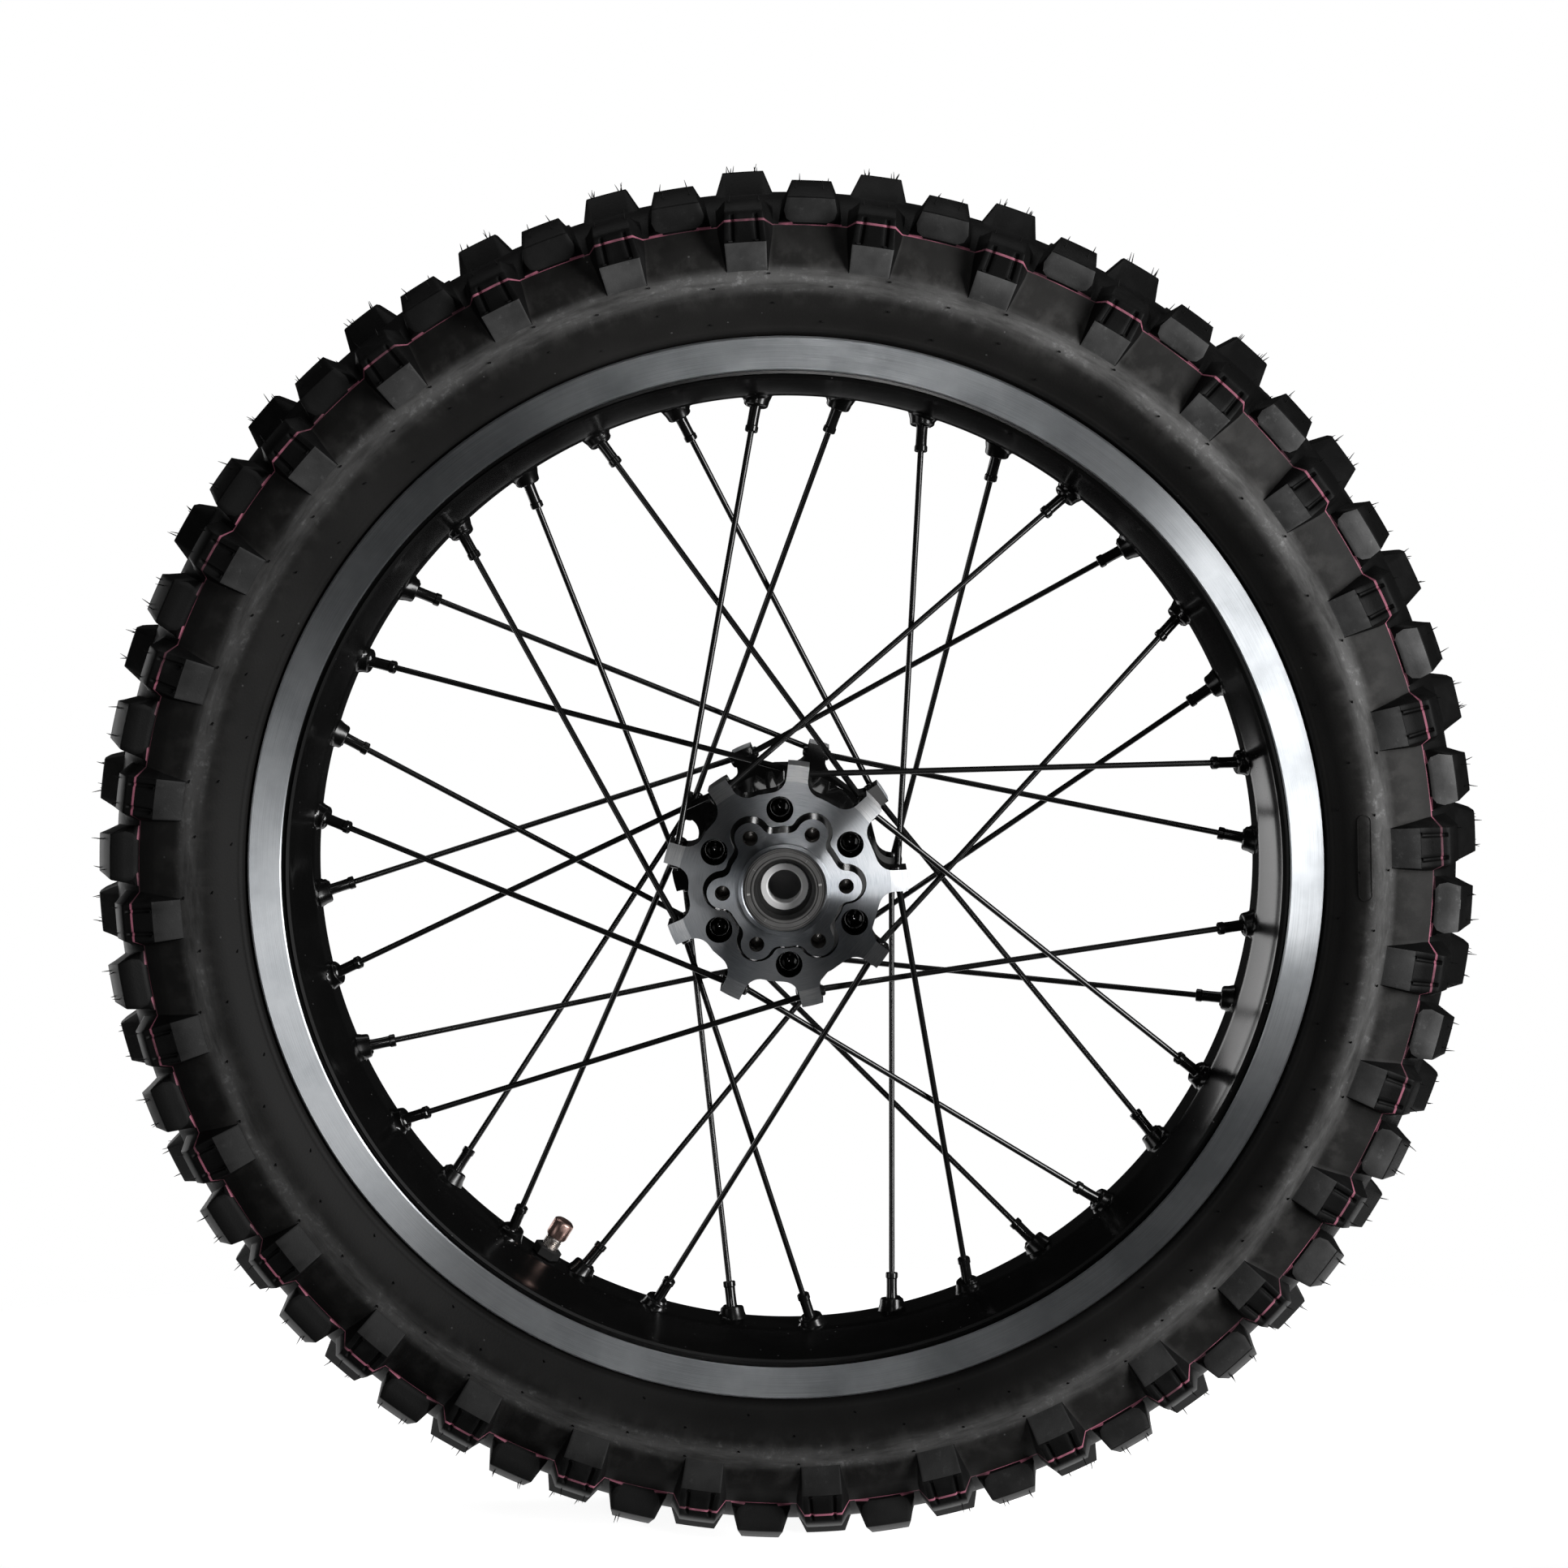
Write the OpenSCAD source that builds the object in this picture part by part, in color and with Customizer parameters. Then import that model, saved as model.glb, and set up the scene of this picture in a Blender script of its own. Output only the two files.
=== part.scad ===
// Spoked motorcycle wheel: straight-pull hub, aluminium rim and knobbly tyre.
// The axle line is Y, the brake-disc side faces -Y, and the origin is the wheel's centre.

/* [Hub] */
// Distance from the wheel's centre plane to the face of the spoke fingers
flange_face = 55.5; // [54:0.5:60]
// Radius of the tips of the spoke fingers
finger_tip_r = 55; // [54:0.5:57]
// Width of one spoke finger
finger_w = 9.6; // [9:0.1:11]
// Depth of a spoke finger along the axle
finger_depth = 18; // [17:0.5:20]
// Height of the brake-disc boss above the fingers
boss_h = 7; // [5:0.5:8]
// Pitch circle diameter of the disc bolts
bolt_pcd = 55; // [54:0.5:56]
// Diameter of the tapping holes of the disc bolts
bolt_hole_d = 6.8; // [6:0.1:7]

/* [Bearings] */
// Bore of the bearings, which is the axle's diameter
axle_d = 15; // [14.9:0.05:15.2]
// Outer diameter of the bearings
bearing_d = 35; // [34.9:0.05:35.1]
// Width of the bearings
bearing_w = 11; // [10.8:0.1:11.2]
// Diameter of the balls
ball_d = 5.95; // [5.8:0.05:6]

/* [Spokes] */
// Diameter of a spoke
spoke_d = 2.7; // [2.4:0.1:3]
// Radius at which the spokes cross the fingers
spoke_hole_r = 50.5; // [50:0.1:51]
// Diameter of a nipple
nipple_d = 5.2; // [5:0.1:5.6]
// Length of nipple that shows below its seat
nipple_len = 12; // [10:0.5:13]

/* [Rim] */
// Radius of the rim's flange
rim_r = 243.4; // [243:0.1:244]
// Half of the rim's overall width
rim_half_w = 34; // [33.5:0.5:36]
// Radius of the rim's inner face, where the nipples sit
rim_bed_r = 217; // [216.5:0.1:217.5]

/* [Tyre] */
// Radius of the tyre over its centre knobs
tyre_r = 317.2; // [316:0.1:320]
// Half of the width of the carcass, without the shoulder knobs
carcass_half_w = 45.7; // [45.2:0.1:46.5]
// Radius of the carcass between the centre knobs
carcass_r = 308; // [307:0.5:309]
// Number of knob pitches round the tyre
pitches = 32; // [30:1:34]

/* [Valve] */
// Angle of the valve, counter-clockwise from +X on the disc side
valve_angle = 238; // [236:0.5:239.5]
// Diameter of the valve stem
valve_d = 8; // [7.8:0.1:8.2]

/* [Hidden] */
$fn = 96;
fine = 48;
outline = 28;
eps = 0.05;
fit = 0.02;

// Lacing: nine fingers on each flange, two spokes in each finger
fingers = 9;
finger_step = 360 / fingers;
disc_finger_angle = 3;
sprocket_finger_angle = 33;
lacing_angle = 70;
nipple_offset = 4.5;
outer_spoke_depth = 4.5;
inner_spoke_depth = 12;
spoke_head_d = 5.2;
spoke_head_h = 2.4;
spoke_seat = 4.2;
spotface_d = 6.4;
boss_rise = 4.5;
nipple_seat = 2;
nipple_head_d = 7.4;
nipple_head_h = 2.4;

// Hub shape
root_r = 43;
root_fillet = 7.5;
barrel_r = 27;
barrel_half = 24;
hub_bore_r = 14.8;
pocket_d = 12;
pocket_pcd = 70;
pocket_depth = 15;
lobe_r = 7;
boss_waist_r = 25.6;
groove_w = 2.1;
groove_depth = 3;
bolts = 6;
bolt_angle = disc_finger_angle;
bolt_depth = 15;
lip_r = 20.5;
lip_h = 1;
boss_face = flange_face + boss_h;

// Bearings and oil seals
bearing_out = flange_face - 2;
bearing_mid = bearing_out - bearing_w / 2;
bearing_in = bearing_out - bearing_w;
ball_pitch_r = (axle_d + bearing_d) / 4;
balls = 8;
groove_play = 0.03;
race_groove_r = ball_d * 0.52;
inner_shoulder_r = 10.5;
outer_shoulder_r = 14.6;
shield_recess_r = 15.7;
shield_in = 4.5;
shield_out = 5.3;
race_chamfer = 0.6;
cage_t = 1.4;
cage_half_w = 3.75;
spacer_r = 10;
seal_r = 18.5;
seal_lip_r = 12.05;
seal_face = boss_face + 0.6;
seal_w = 7;

// Tyre tread
pitch_angle = 360 / pitches;
knob_angle = 3.1;

// Heights and half-widths that the tyre, tube and strip share
bead_r = 229.7;
bead_half = 27;
side_r = 267;
side_inside = carcass_half_w - 4.1;
crown_inside = carcass_r - 6.7;
strip_r = 223.8;
tube_base_r = 226.8;
valve_tip_r = 200;
valve_tip_d = 7.6;

// Shared helpers. Sub-parts are drawn with the axle along Z and the disc side up.
DISC = 1;
SPROCKET = -1;

module on_axle() {
    rotate([90, 0, 0]) children();
}

module on_side(side) {
    if (side == DISC) children();
    if (side == SPROCKET) mirror([0, 0, 1]) children();
}

module ring_of(count, first = 0) {
    for (i = [0 : count - 1]) rotate([0, 0, first + i * 360 / count]) children();
}

// Puts a child's Z axis on the line from p to q
module along(p, q) {
    d = q - p;
    translate(p) rotate([0, acos(d[2] / norm(d)), atan2(d[1], d[0])]) children();
}

function at(r, angle, z) = [r * cos(angle), r * sin(angle), z];

// Cubic curve through p0 and p3, shaped by p1 and p2, without its last point
function curve(p0, p1, p2, p3, steps) = [
    for (i = [0 : steps - 1])
        let (t = i / steps, u = 1 - t)
            u * u * u * p0 + 3 * u * u * t * p1 + 3 * u * t * t * p2 + t * t * t * p3
];

// Closes a half profile of [radius, height] points by mirroring it in the centre plane
function mirrored(half) = concat(half, [
    for (i = [len(half) - 1 : -1 : 0])
        if (half[i][1] > eps) [half[i][0], -half[i][1]]
]);

// Bearings
module inner_race(side) {
    groove_c = ball_pitch_r - ball_d / 2 - groove_play + race_groove_r;
    half = bearing_w / 2;
    bore = axle_d / 2;
    color("gainsboro") on_axle() on_side(side) translate([0, 0, bearing_mid])
        rotate_extrude() difference() {
            polygon([
                [bore, -half + race_chamfer], [bore + race_chamfer, -half],
                [inner_shoulder_r, -half], [inner_shoulder_r, half],
                [bore + race_chamfer, half], [bore, half - race_chamfer],
            ]);
            translate([groove_c, 0]) circle(r = race_groove_r);
        }
}

module outer_race(side) {
    groove_c = ball_pitch_r + ball_d / 2 + groove_play - race_groove_r;
    half = bearing_w / 2;
    color("silver") on_axle() on_side(side) translate([0, 0, bearing_mid])
        rotate_extrude() difference() {
            polygon([
                [outer_shoulder_r, -shield_in], [shield_recess_r, -shield_in],
                [shield_recess_r, -half], [bearing_d / 2, -half],
                [bearing_d / 2, half], [shield_recess_r, half],
                [shield_recess_r, shield_in], [outer_shoulder_r, shield_in],
            ]);
            translate([groove_c, 0]) circle(r = race_groove_r);
        }
}

module bearing_balls(side) {
    color("silver") on_axle() on_side(side) translate([0, 0, bearing_mid])
        ring_of(balls) translate([ball_pitch_r, 0, 0]) sphere(d = ball_d, $fn = fine);
}

module ball_cage(side) {
    pocket_play = 0.08;
    color("goldenrod") on_axle() on_side(side) translate([0, 0, bearing_mid])
        difference() {
            cylinder(h = 2 * cage_half_w, r = ball_pitch_r + cage_t / 2, center = true);
            cylinder(h = 2 * cage_half_w + 1, r = ball_pitch_r - cage_t / 2, center = true);
            ring_of(balls) rotate([0, 90, 0])
                cylinder(h = bearing_d / 2, d = ball_d + 2 * pocket_play, $fn = fine);
        }
}

module bearing_shields(side) {
    inner_gap = 0.25;
    outer_gap = 0.05;
    color("black") on_axle() on_side(side) translate([0, 0, bearing_mid])
        for (up = [0, 1]) mirror([0, 0, up]) rotate_extrude()
            translate([inner_shoulder_r + inner_gap, shield_in + outer_gap])
                square([
                    shield_recess_r - outer_gap - inner_shoulder_r - inner_gap,
                    shield_out - shield_in
                ]);
}

module bearing_spacer_tube() {
    wall_play = 0.3;
    color("darkgray") on_axle() difference() {
        cylinder(h = 2 * bearing_in, r = spacer_r, center = true);
        cylinder(h = 2 * bearing_in + 1, r = axle_d / 2 + wall_play, center = true);
    }
}

// Oil seals: a rubber face and lip on a pressed steel case, with a garter spring
module seal_case(side) {
    wall = 0.8;
    web_r = 14.4;
    back = seal_face - seal_w;
    web = seal_face - 3;
    color("dimgray") on_axle() on_side(side) rotate_extrude() polygon([
        [seal_r, back], [seal_r, web], [web_r, web],
        [web_r, web - wall], [seal_r - wall, web - wall], [seal_r - wall, back],
    ]);
}

module seal_rubber(side) {
    face = seal_face;
    color("dimgray") on_axle() on_side(side) rotate_extrude() polygon([
        [seal_r, face - 2.95], [seal_r, face - 0.3], [seal_r - 0.3, face],
        [17.2, face], [17, face - 0.25], [14, face - 0.25], [13.7, face - 0.5],
        [seal_lip_r, face - 3.6], [12.5, face - 4.8], [13.1, face - 4],
        [14.25, face - 3.4], [14.35, face - 2.95],
    ]);
}

module garter_spring(side) {
    coil_r = 0.55;
    spring_r = 13.5;
    spring_depth = 4.7;
    color("lightgray") on_axle() on_side(side)
        translate([0, 0, seal_face - spring_depth]) rotate_extrude()
            translate([spring_r, 0]) circle(r = coil_r, $fn = fine);
}

// Hub
module finger_outline() {
    intersection() {
        offset(r = -root_fillet, $fn = outline) offset(delta = root_fillet) union() {
            circle(r = root_r);
            ring_of(fingers) translate([0, -finger_w / 2])
                square([finger_tip_r + root_fillet, finger_w]);
        }
        circle(r = finger_tip_r);
    }
}

module boss_outline(grow = 0) {
    blend = 5;
    offset(r = grow, $fn = outline) offset(r = -blend, $fn = outline) offset(delta = blend)
        union() {
            circle(r = boss_waist_r);
            ring_of(bolts, bolt_angle) {
                translate([bolt_pcd / 2, 0]) circle(r = lobe_r, $fn = outline);
                translate([0, -lobe_r]) square([bolt_pcd / 2, 2 * lobe_r]);
            }
        }
}

module hub_core() {
    taper = 13.5;
    rotate_extrude() polygon(mirrored([
        [hub_bore_r, 0], [hub_bore_r, bearing_in], [bearing_d / 2 + fit, bearing_in],
        [bearing_d / 2 + fit, bearing_out], [seal_r + fit, bearing_out],
        [seal_r + fit, boss_face + lip_h - 0.5], [seal_r + 0.5, boss_face + lip_h],
        [lip_r, boss_face + lip_h], [lip_r + 0.6, boss_face - 1],
        [lip_r + 0.6, flange_face - groove_depth - 1],
        [root_r - 2, flange_face - groove_depth - 1], [root_r - 2, flange_face - finger_depth],
        [barrel_r + 1, flange_face - finger_depth - taper], [barrel_r, barrel_half - 6],
        [barrel_r, 0],
    ]));
}

module hub_flange(first_finger) {
    translate([0, 0, flange_face - finger_depth]) difference() {
        linear_extrude(finger_depth) rotate([0, 0, first_finger]) finger_outline();
        translate([0, 0, -1]) cylinder(h = finger_depth + 2, r = seal_r + 1);
    }
    translate([0, 0, flange_face - 1]) linear_extrude(boss_h + 1) difference() {
        boss_outline();
        circle(r = seal_r + 1);
    }
}

module flange_cuts() {
    tip_h = 2;
    translate([0, 0, flange_face - groove_depth]) linear_extrude(groove_depth + 1)
        difference() {
            boss_outline(groove_w);
            boss_outline();
        }
    ring_of(bolts, bolt_angle) translate([bolt_pcd / 2, 0, boss_face - bolt_depth]) {
        cylinder(h = bolt_depth + 1, d = bolt_hole_d, $fn = fine);
        translate([0, 0, -tip_h]) cylinder(h = tip_h, d1 = 0, d2 = bolt_hole_d, $fn = fine);
    }
    ring_of(bolts, bolt_angle + 30)
        translate([pocket_pcd / 2, 0, flange_face - pocket_depth + pocket_d / 2]) {
            cylinder(h = pocket_depth, d = pocket_d, $fn = fine);
            sphere(d = pocket_d, $fn = fine);
        }
}

module hub_body() {
    color("darkslategray") on_axle() difference() {
        union() {
            hub_core();
            on_side(DISC) hub_flange(disc_finger_angle);
            on_side(SPROCKET) hub_flange(sprocket_finger_angle);
        }
        on_side(DISC) flange_cuts();
        on_side(SPROCKET) flange_cuts();
        for (side = [DISC, SPROCKET], inner = [0, 1]) at_spokes(side, inner) spoke_hole();
    }
}

// Spokes. An outer spoke leaves its finger near the face, an inner one deeper in.
function spoke_angle(side, k) =
    (side == DISC ? disc_finger_angle : sprocket_finger_angle) + k * finger_step;
function spoke_turn(side, inner) = side * (inner == 1 ? 1 : -1) * lacing_angle;
function spoke_start(side, inner, k) = at(spoke_hole_r, spoke_angle(side, k),
    side * (flange_face - (inner == 1 ? inner_spoke_depth : outer_spoke_depth)));
function spoke_end(side, inner, k) = at(rim_bed_r,
    spoke_angle(side, k) + spoke_turn(side, inner), side * nipple_offset);
function spoke_len(side, inner) =
    norm(spoke_end(side, inner, 0) - spoke_start(side, inner, 0));

module at_spokes(side, inner) {
    for (k = [0 : fingers - 1])
        along(spoke_start(side, inner, k), spoke_end(side, inner, k)) children();
}

module at_nipples(side) {
    for (inner = [0, 1]) at_spokes(side, inner)
        translate([0, 0, spoke_len(side, inner)]) children();
}

module spoke_hole() {
    hole_d = spoke_d + 0.5;
    reach = finger_w / 2 + 3;
    spotface_len = 8;
    translate([0, 0, -reach]) cylinder(h = 2 * reach, d = hole_d, $fn = fine);
    translate([0, 0, -spoke_seat - spotface_len])
        cylinder(h = spotface_len, d = spotface_d, $fn = fine);
}

module spoke(len) {
    thread_reach = 1;
    head_low = -spoke_seat - spoke_head_h;
    translate([0, 0, head_low]) cylinder(h = spoke_head_h, d = spoke_head_d, $fn = fine);
    translate([0, 0, -spoke_seat - 1])
        cylinder(h = len + spoke_seat + 1 + thread_reach, d = spoke_d, $fn = fine);
}

module spokes(side, inner) {
    color("black") on_axle() at_spokes(side, inner) spoke(spoke_len(side, inner));
}

// Nipples: a slim sleeve with a head that rests on the rim's inner side
module nipple() {
    bore_d = spoke_d + 0.2;
    low = -boss_rise - nipple_len;
    sleeve_len = nipple_seat - low + 0.5;
    difference() {
        union() {
            translate([0, 0, low]) cylinder(h = sleeve_len, d = nipple_d, $fn = fine);
            translate([0, 0, nipple_seat])
                cylinder(h = nipple_head_h, d = nipple_head_d, $fn = fine);
        }
        translate([0, 0, low - 1]) cylinder(h = sleeve_len + 8, d = bore_d, $fn = fine);
    }
}

module nipples(side) {
    color("black") on_axle() at_nipples(side) nipple();
}

// Rim: flanges with a machined side face, bead seats and a well with raised spoke seats
module rim_section() {
    edge = 0.8;
    bed = rim_bed_r;
    w = rim_half_w;
    polygon(mirrored([
        [bed, 0], [bed, 9], [bed + 1, 12.5], [bed + 3.5, 18], [bed + 6, 25],
        [bed + 7.8, w - 3.4], [bed + 9.6, w - 1.6], [bed + 9.8, w - 0.8],
        [bed + 11.2, w - 0.8], [bed + 11.6, w],
        [rim_r - edge, w], [rim_r, w - edge], [rim_r, w - 4.4], [rim_r - 1, w - 6],
        [rim_r - 2.6, bead_half + 0.3], [bead_r - 0.3, bead_half + 0.3],
        [bead_r - 0.3, 19], [bead_r - 2, 17.5], [bed + 4.5, 13.5], [bed + 3.2, 10],
        [bed + 3.2, 0],
    ]));
}

module nipple_hole() {
    hole_d = nipple_d + 0.4;
    translate([0, 0, -boss_rise - 1]) cylinder(h = boss_rise + 6, d = hole_d, $fn = fine);
    translate([0, 0, nipple_seat]) cylinder(h = 5, d = nipple_head_d + 0.8, $fn = fine);
}

module rim() {
    boss_base_d = 13;
    boss_top_d = 8.6;
    valve_hole_d = valve_d + 0.5;
    color("black") on_axle() difference() {
        union() {
            rotate_extrude() rim_section();
            for (side = [DISC, SPROCKET]) at_nipples(side)
                translate([0, 0, -boss_rise])
                    cylinder(h = boss_rise + 1, d1 = boss_top_d, d2 = boss_base_d, $fn = fine);
        }
        for (side = [DISC, SPROCKET]) at_nipples(side) nipple_hole();
        at_valve() translate([0, 0, rim_bed_r - 5]) cylinder(h = 15, d = valve_hole_d);
    }
}

// Rim strip: a rubber band that covers the nipple heads
module rim_strip() {
    strip_t = 0.8;
    strip_half = 9;
    hole_d = valve_d + 1;
    color("dimgray") on_axle() difference() {
        rotate_extrude() translate([strip_r, -strip_half]) square([strip_t, 2 * strip_half]);
        at_valve() translate([0, 0, strip_r - 4]) cylinder(h = 8, d = hole_d);
    }
}

// Air chamber profile between the rim strip and the inside of the tyre
function chamber() = mirrored(concat(
    [[tube_base_r, 0], [tube_base_r, 9], [231, 17], [239.5, 18.6]],
    curve([241, 20], [249.4, 36.6], [257, side_inside - 0.4], [side_r, side_inside - 0.4], 5),
    curve([side_r, side_inside - 0.4], [284.6, side_inside - 0.4],
        [crown_inside - 0.8, 28.7], [crown_inside - 0.4, 0], 7),
    [[crown_inside - 0.4, 0]]
));

module inner_tube() {
    chamber_mid = 263;
    hollow = 0.95;
    color("dimgray") on_axle() rotate_extrude() difference() {
        polygon(chamber());
        translate([chamber_mid, 0]) scale([hollow, hollow]) translate([-chamber_mid, 0])
            polygon(chamber());
    }
}

// Tyre. Both halves of the carcass section run from the bead to the centre plane.
function carcass_outside() = concat(
    [[bead_r, bead_half], [rim_r - 2.4, bead_half], [rim_r - 0.8, bead_half + 0.5],
        [rim_r + 0.3, bead_half + 2.2]],
    curve([rim_r + 0.6, 30.6], [rim_r + 4, 41], [256, carcass_half_w],
        [side_r, carcass_half_w], 6),
    curve([side_r, carcass_half_w], [287, carcass_half_w], [carcass_r, 33], [carcass_r, 0], 8),
    [[carcass_r, 0]]
);
function carcass_inside() = concat(
    [[bead_r, 18.6], [239.5, 19]],
    curve([241, 20.4], [249, 37], [257, side_inside], [side_r, side_inside], 5),
    curve([side_r, side_inside], [285, side_inside], [crown_inside - 0.4, 29], [crown_inside, 0], 7),
    [[crown_inside, 0]]
);
function backwards(points) = [for (i = [len(points) - 1 : -1 : 0]) points[i]];

module carcass() {
    half = concat(carcass_outside(), backwards(carcass_inside()));
    rotate_extrude($fn = 192) {
        polygon(half);
        mirror([0, 1]) polygon(half);
    }
}

// A block of tread: the profile turned through a small angle, centred on its own middle
module tread_block(width_angle) {
    rotate([0, 0, -width_angle / 2]) rotate_extrude(angle = width_angle) children();
}

module both_shoulders() {
    for (up = [0, 1]) mirror([0, 0, up]) children();
}

// Knob profiles are [radius, half-width] points; the last ones lie inside the carcass
module shoulder_knob() {
    turn = 4;
    both_shoulders() tread_block(turn) polygon([
        [271.6, 44], [272.2, 45.8], [284.4, 50.8], [285, 50.2],
        [297.4, 48.9], [303, 39.2], [296, 30], [284, 39],
    ]);
}

module side_knob() {
    turn = 4.6;
    both_shoulders() tread_block(turn) polygon([
        [290.4, 35.5], [291.8, 39.2], [303.2, 44], [311.6, 29.5], [303, 22], [296, 30],
    ]);
}

module centre_knob() {
    turn = 4;
    foot_r = 302;
    foot_half = 17.5;
    top_half = 11.4;
    flat_half = 5.5;
    tread_block(turn) polygon([
        [foot_r, -foot_half], [tyre_r - 1, -top_half], [tyre_r, -flat_half],
        [tyre_r, flat_half], [tyre_r - 1, top_half], [foot_r, foot_half],
    ]);
}

module tyre() {
    color("black") on_axle() union() {
        carcass();
        ring_of(pitches, knob_angle) {
            shoulder_knob();
            centre_knob();
        }
        ring_of(pitches, knob_angle + pitch_angle / 2) side_knob();
    }
}

// Valve. Its axis runs from the wheel's centre out to the rim, so a child's Z is a radius.
module at_valve() {
    rotate([0, 0, valve_angle]) rotate([0, 90, 0]) children();
}

module valve_stem() {
    foot_d = 15;
    foot_top = tube_base_r - 0.1;
    foot_low = strip_r + 0.9;
    core_d = 5.2;
    core_len = 22;
    tip_len = 7;
    air_hole_d = 2.4;
    shank_low = valve_tip_r + tip_len;
    color("gold") on_axle() at_valve() difference() {
        union() {
            translate([0, 0, foot_low]) cylinder(h = foot_top - foot_low, d = foot_d);
            translate([0, 0, shank_low]) cylinder(h = foot_low + 1 - shank_low, d = valve_d);
            translate([0, 0, valve_tip_r]) cylinder(h = tip_len + 0.5, d = valve_tip_d);
        }
        translate([0, 0, valve_tip_r - 1]) cylinder(h = core_len + 1, d = core_d);
        translate([0, 0, valve_tip_r]) cylinder(h = foot_top - valve_tip_r + 1, d = air_hole_d);
    }
}

module valve_core() {
    body_d = 4.9;
    body_len = 18;
    pin_d = 1.6;
    pin_len = 3;
    color("goldenrod") on_axle() at_valve() {
        translate([0, 0, valve_tip_r + 2]) cylinder(h = body_len, d = body_d);
        translate([0, 0, valve_tip_r + 0.3]) cylinder(h = pin_len, d = pin_d);
    }
}

module valve_nut() {
    nut_across = 12;
    nut_h = 5;
    seat_r = rim_bed_r - 0.15;
    color("black") on_axle() at_valve() translate([0, 0, seat_r - nut_h]) difference() {
        cylinder(h = nut_h, d = nut_across / cos(30), $fn = 6);
        translate([0, 0, -1]) cylinder(h = nut_h + 2, d = valve_d + 0.06);
    }
}

module valve_cap() {
    cap_d = 10;
    cap_len = 9;
    thread_len = 6.9;
    thread_play = 0.06;
    top_r = valve_tip_r + 6.5;
    color("black") on_axle() at_valve() translate([0, 0, top_r - cap_len]) difference() {
        cylinder(h = cap_len, d = cap_d);
        translate([0, 0, cap_len - thread_len])
            cylinder(h = thread_len + 1, d = valve_tip_d + thread_play);
    }
}

bearing_spacer_tube();
inner_race(DISC);  // inner_race_disc_side
inner_race(SPROCKET);  // inner_race_sprocket_side
bearing_balls(DISC);  // balls_disc_side
bearing_balls(SPROCKET);  // balls_sprocket_side
ball_cage(DISC);  // ball_cage_disc_side
ball_cage(SPROCKET);  // ball_cage_sprocket_side
outer_race(DISC);  // outer_race_disc_side
outer_race(SPROCKET);  // outer_race_sprocket_side
bearing_shields(DISC);  // bearing_shields_disc_side
bearing_shields(SPROCKET);  // bearing_shields_sprocket_side
hub_body();
seal_case(DISC);  // seal_case_disc_side
seal_case(SPROCKET);  // seal_case_sprocket_side
seal_rubber(DISC);  // seal_rubber_disc_side
seal_rubber(SPROCKET);  // seal_rubber_sprocket_side
garter_spring(DISC);  // garter_spring_disc_side
garter_spring(SPROCKET);  // garter_spring_sprocket_side
spokes(DISC, 0);  // spokes_disc_side_outer
spokes(DISC, 1);  // spokes_disc_side_inner
spokes(SPROCKET, 0);  // spokes_sprocket_side_outer
spokes(SPROCKET, 1);  // spokes_sprocket_side_inner
nipples(DISC);  // nipples_disc_side
nipples(SPROCKET);  // nipples_sprocket_side
rim();
rim_strip();
inner_tube();
tyre();
valve_stem();
valve_core();
valve_nut();
valve_cap();
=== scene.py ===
"""Looks of a spoked off-road motorcycle wheel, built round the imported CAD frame.

The axle is the Y axis and the disc side faces -Y. Shapes are drawn as (radius, height)
outlines in millimetres, with height measured along the axle towards the disc side. Angles
are in degrees, 0 on +X, counter-clockwise as the disc side is seen.
"""

import math
import random

import bmesh
import bpy
import numpy as np
from mathutils import Matrix, Vector


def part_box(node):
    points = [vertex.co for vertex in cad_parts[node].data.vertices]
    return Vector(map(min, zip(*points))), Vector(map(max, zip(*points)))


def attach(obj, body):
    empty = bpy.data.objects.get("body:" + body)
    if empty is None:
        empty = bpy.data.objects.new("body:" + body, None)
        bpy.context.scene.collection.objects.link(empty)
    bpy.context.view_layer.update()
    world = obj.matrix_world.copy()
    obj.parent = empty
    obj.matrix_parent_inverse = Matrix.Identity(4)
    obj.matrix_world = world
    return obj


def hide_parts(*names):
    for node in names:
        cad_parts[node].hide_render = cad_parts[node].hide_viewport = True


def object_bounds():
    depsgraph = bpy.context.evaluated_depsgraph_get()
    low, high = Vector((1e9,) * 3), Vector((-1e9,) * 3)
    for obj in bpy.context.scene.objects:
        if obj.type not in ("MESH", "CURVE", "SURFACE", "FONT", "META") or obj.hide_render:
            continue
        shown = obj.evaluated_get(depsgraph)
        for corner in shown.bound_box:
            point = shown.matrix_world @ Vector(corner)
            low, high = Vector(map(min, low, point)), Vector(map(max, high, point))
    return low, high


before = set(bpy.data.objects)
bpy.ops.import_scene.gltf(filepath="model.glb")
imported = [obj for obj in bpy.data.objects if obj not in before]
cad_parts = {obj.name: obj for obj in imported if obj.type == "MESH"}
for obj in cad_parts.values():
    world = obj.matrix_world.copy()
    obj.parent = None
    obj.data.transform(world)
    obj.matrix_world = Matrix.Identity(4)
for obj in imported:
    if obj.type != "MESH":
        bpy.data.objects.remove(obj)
cad_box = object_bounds()
random.seed(7)

MM = 0.001
DISC = 1
SPROCKET = -1
SIDE_NAMES = {DISC: "disc_side", SPROCKET: "sprocket_side"}


def reach(node):
    """How far a CAD node goes from the axle and from the centre plane, in millimetres."""
    low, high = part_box(node)
    return max(high[0], high[2]) / MM, max(abs(low[1]), abs(high[1])) / MM


# Driving sizes, read from the frame
TYRE_R = reach("tyre")[0]
RIM_R, RIM_HALF = reach("rim")
LIP_FACE = reach("hub_body")[1]
SEAL_R, SEAL_FACE = reach("seal_rubber_disc_side")

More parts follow.
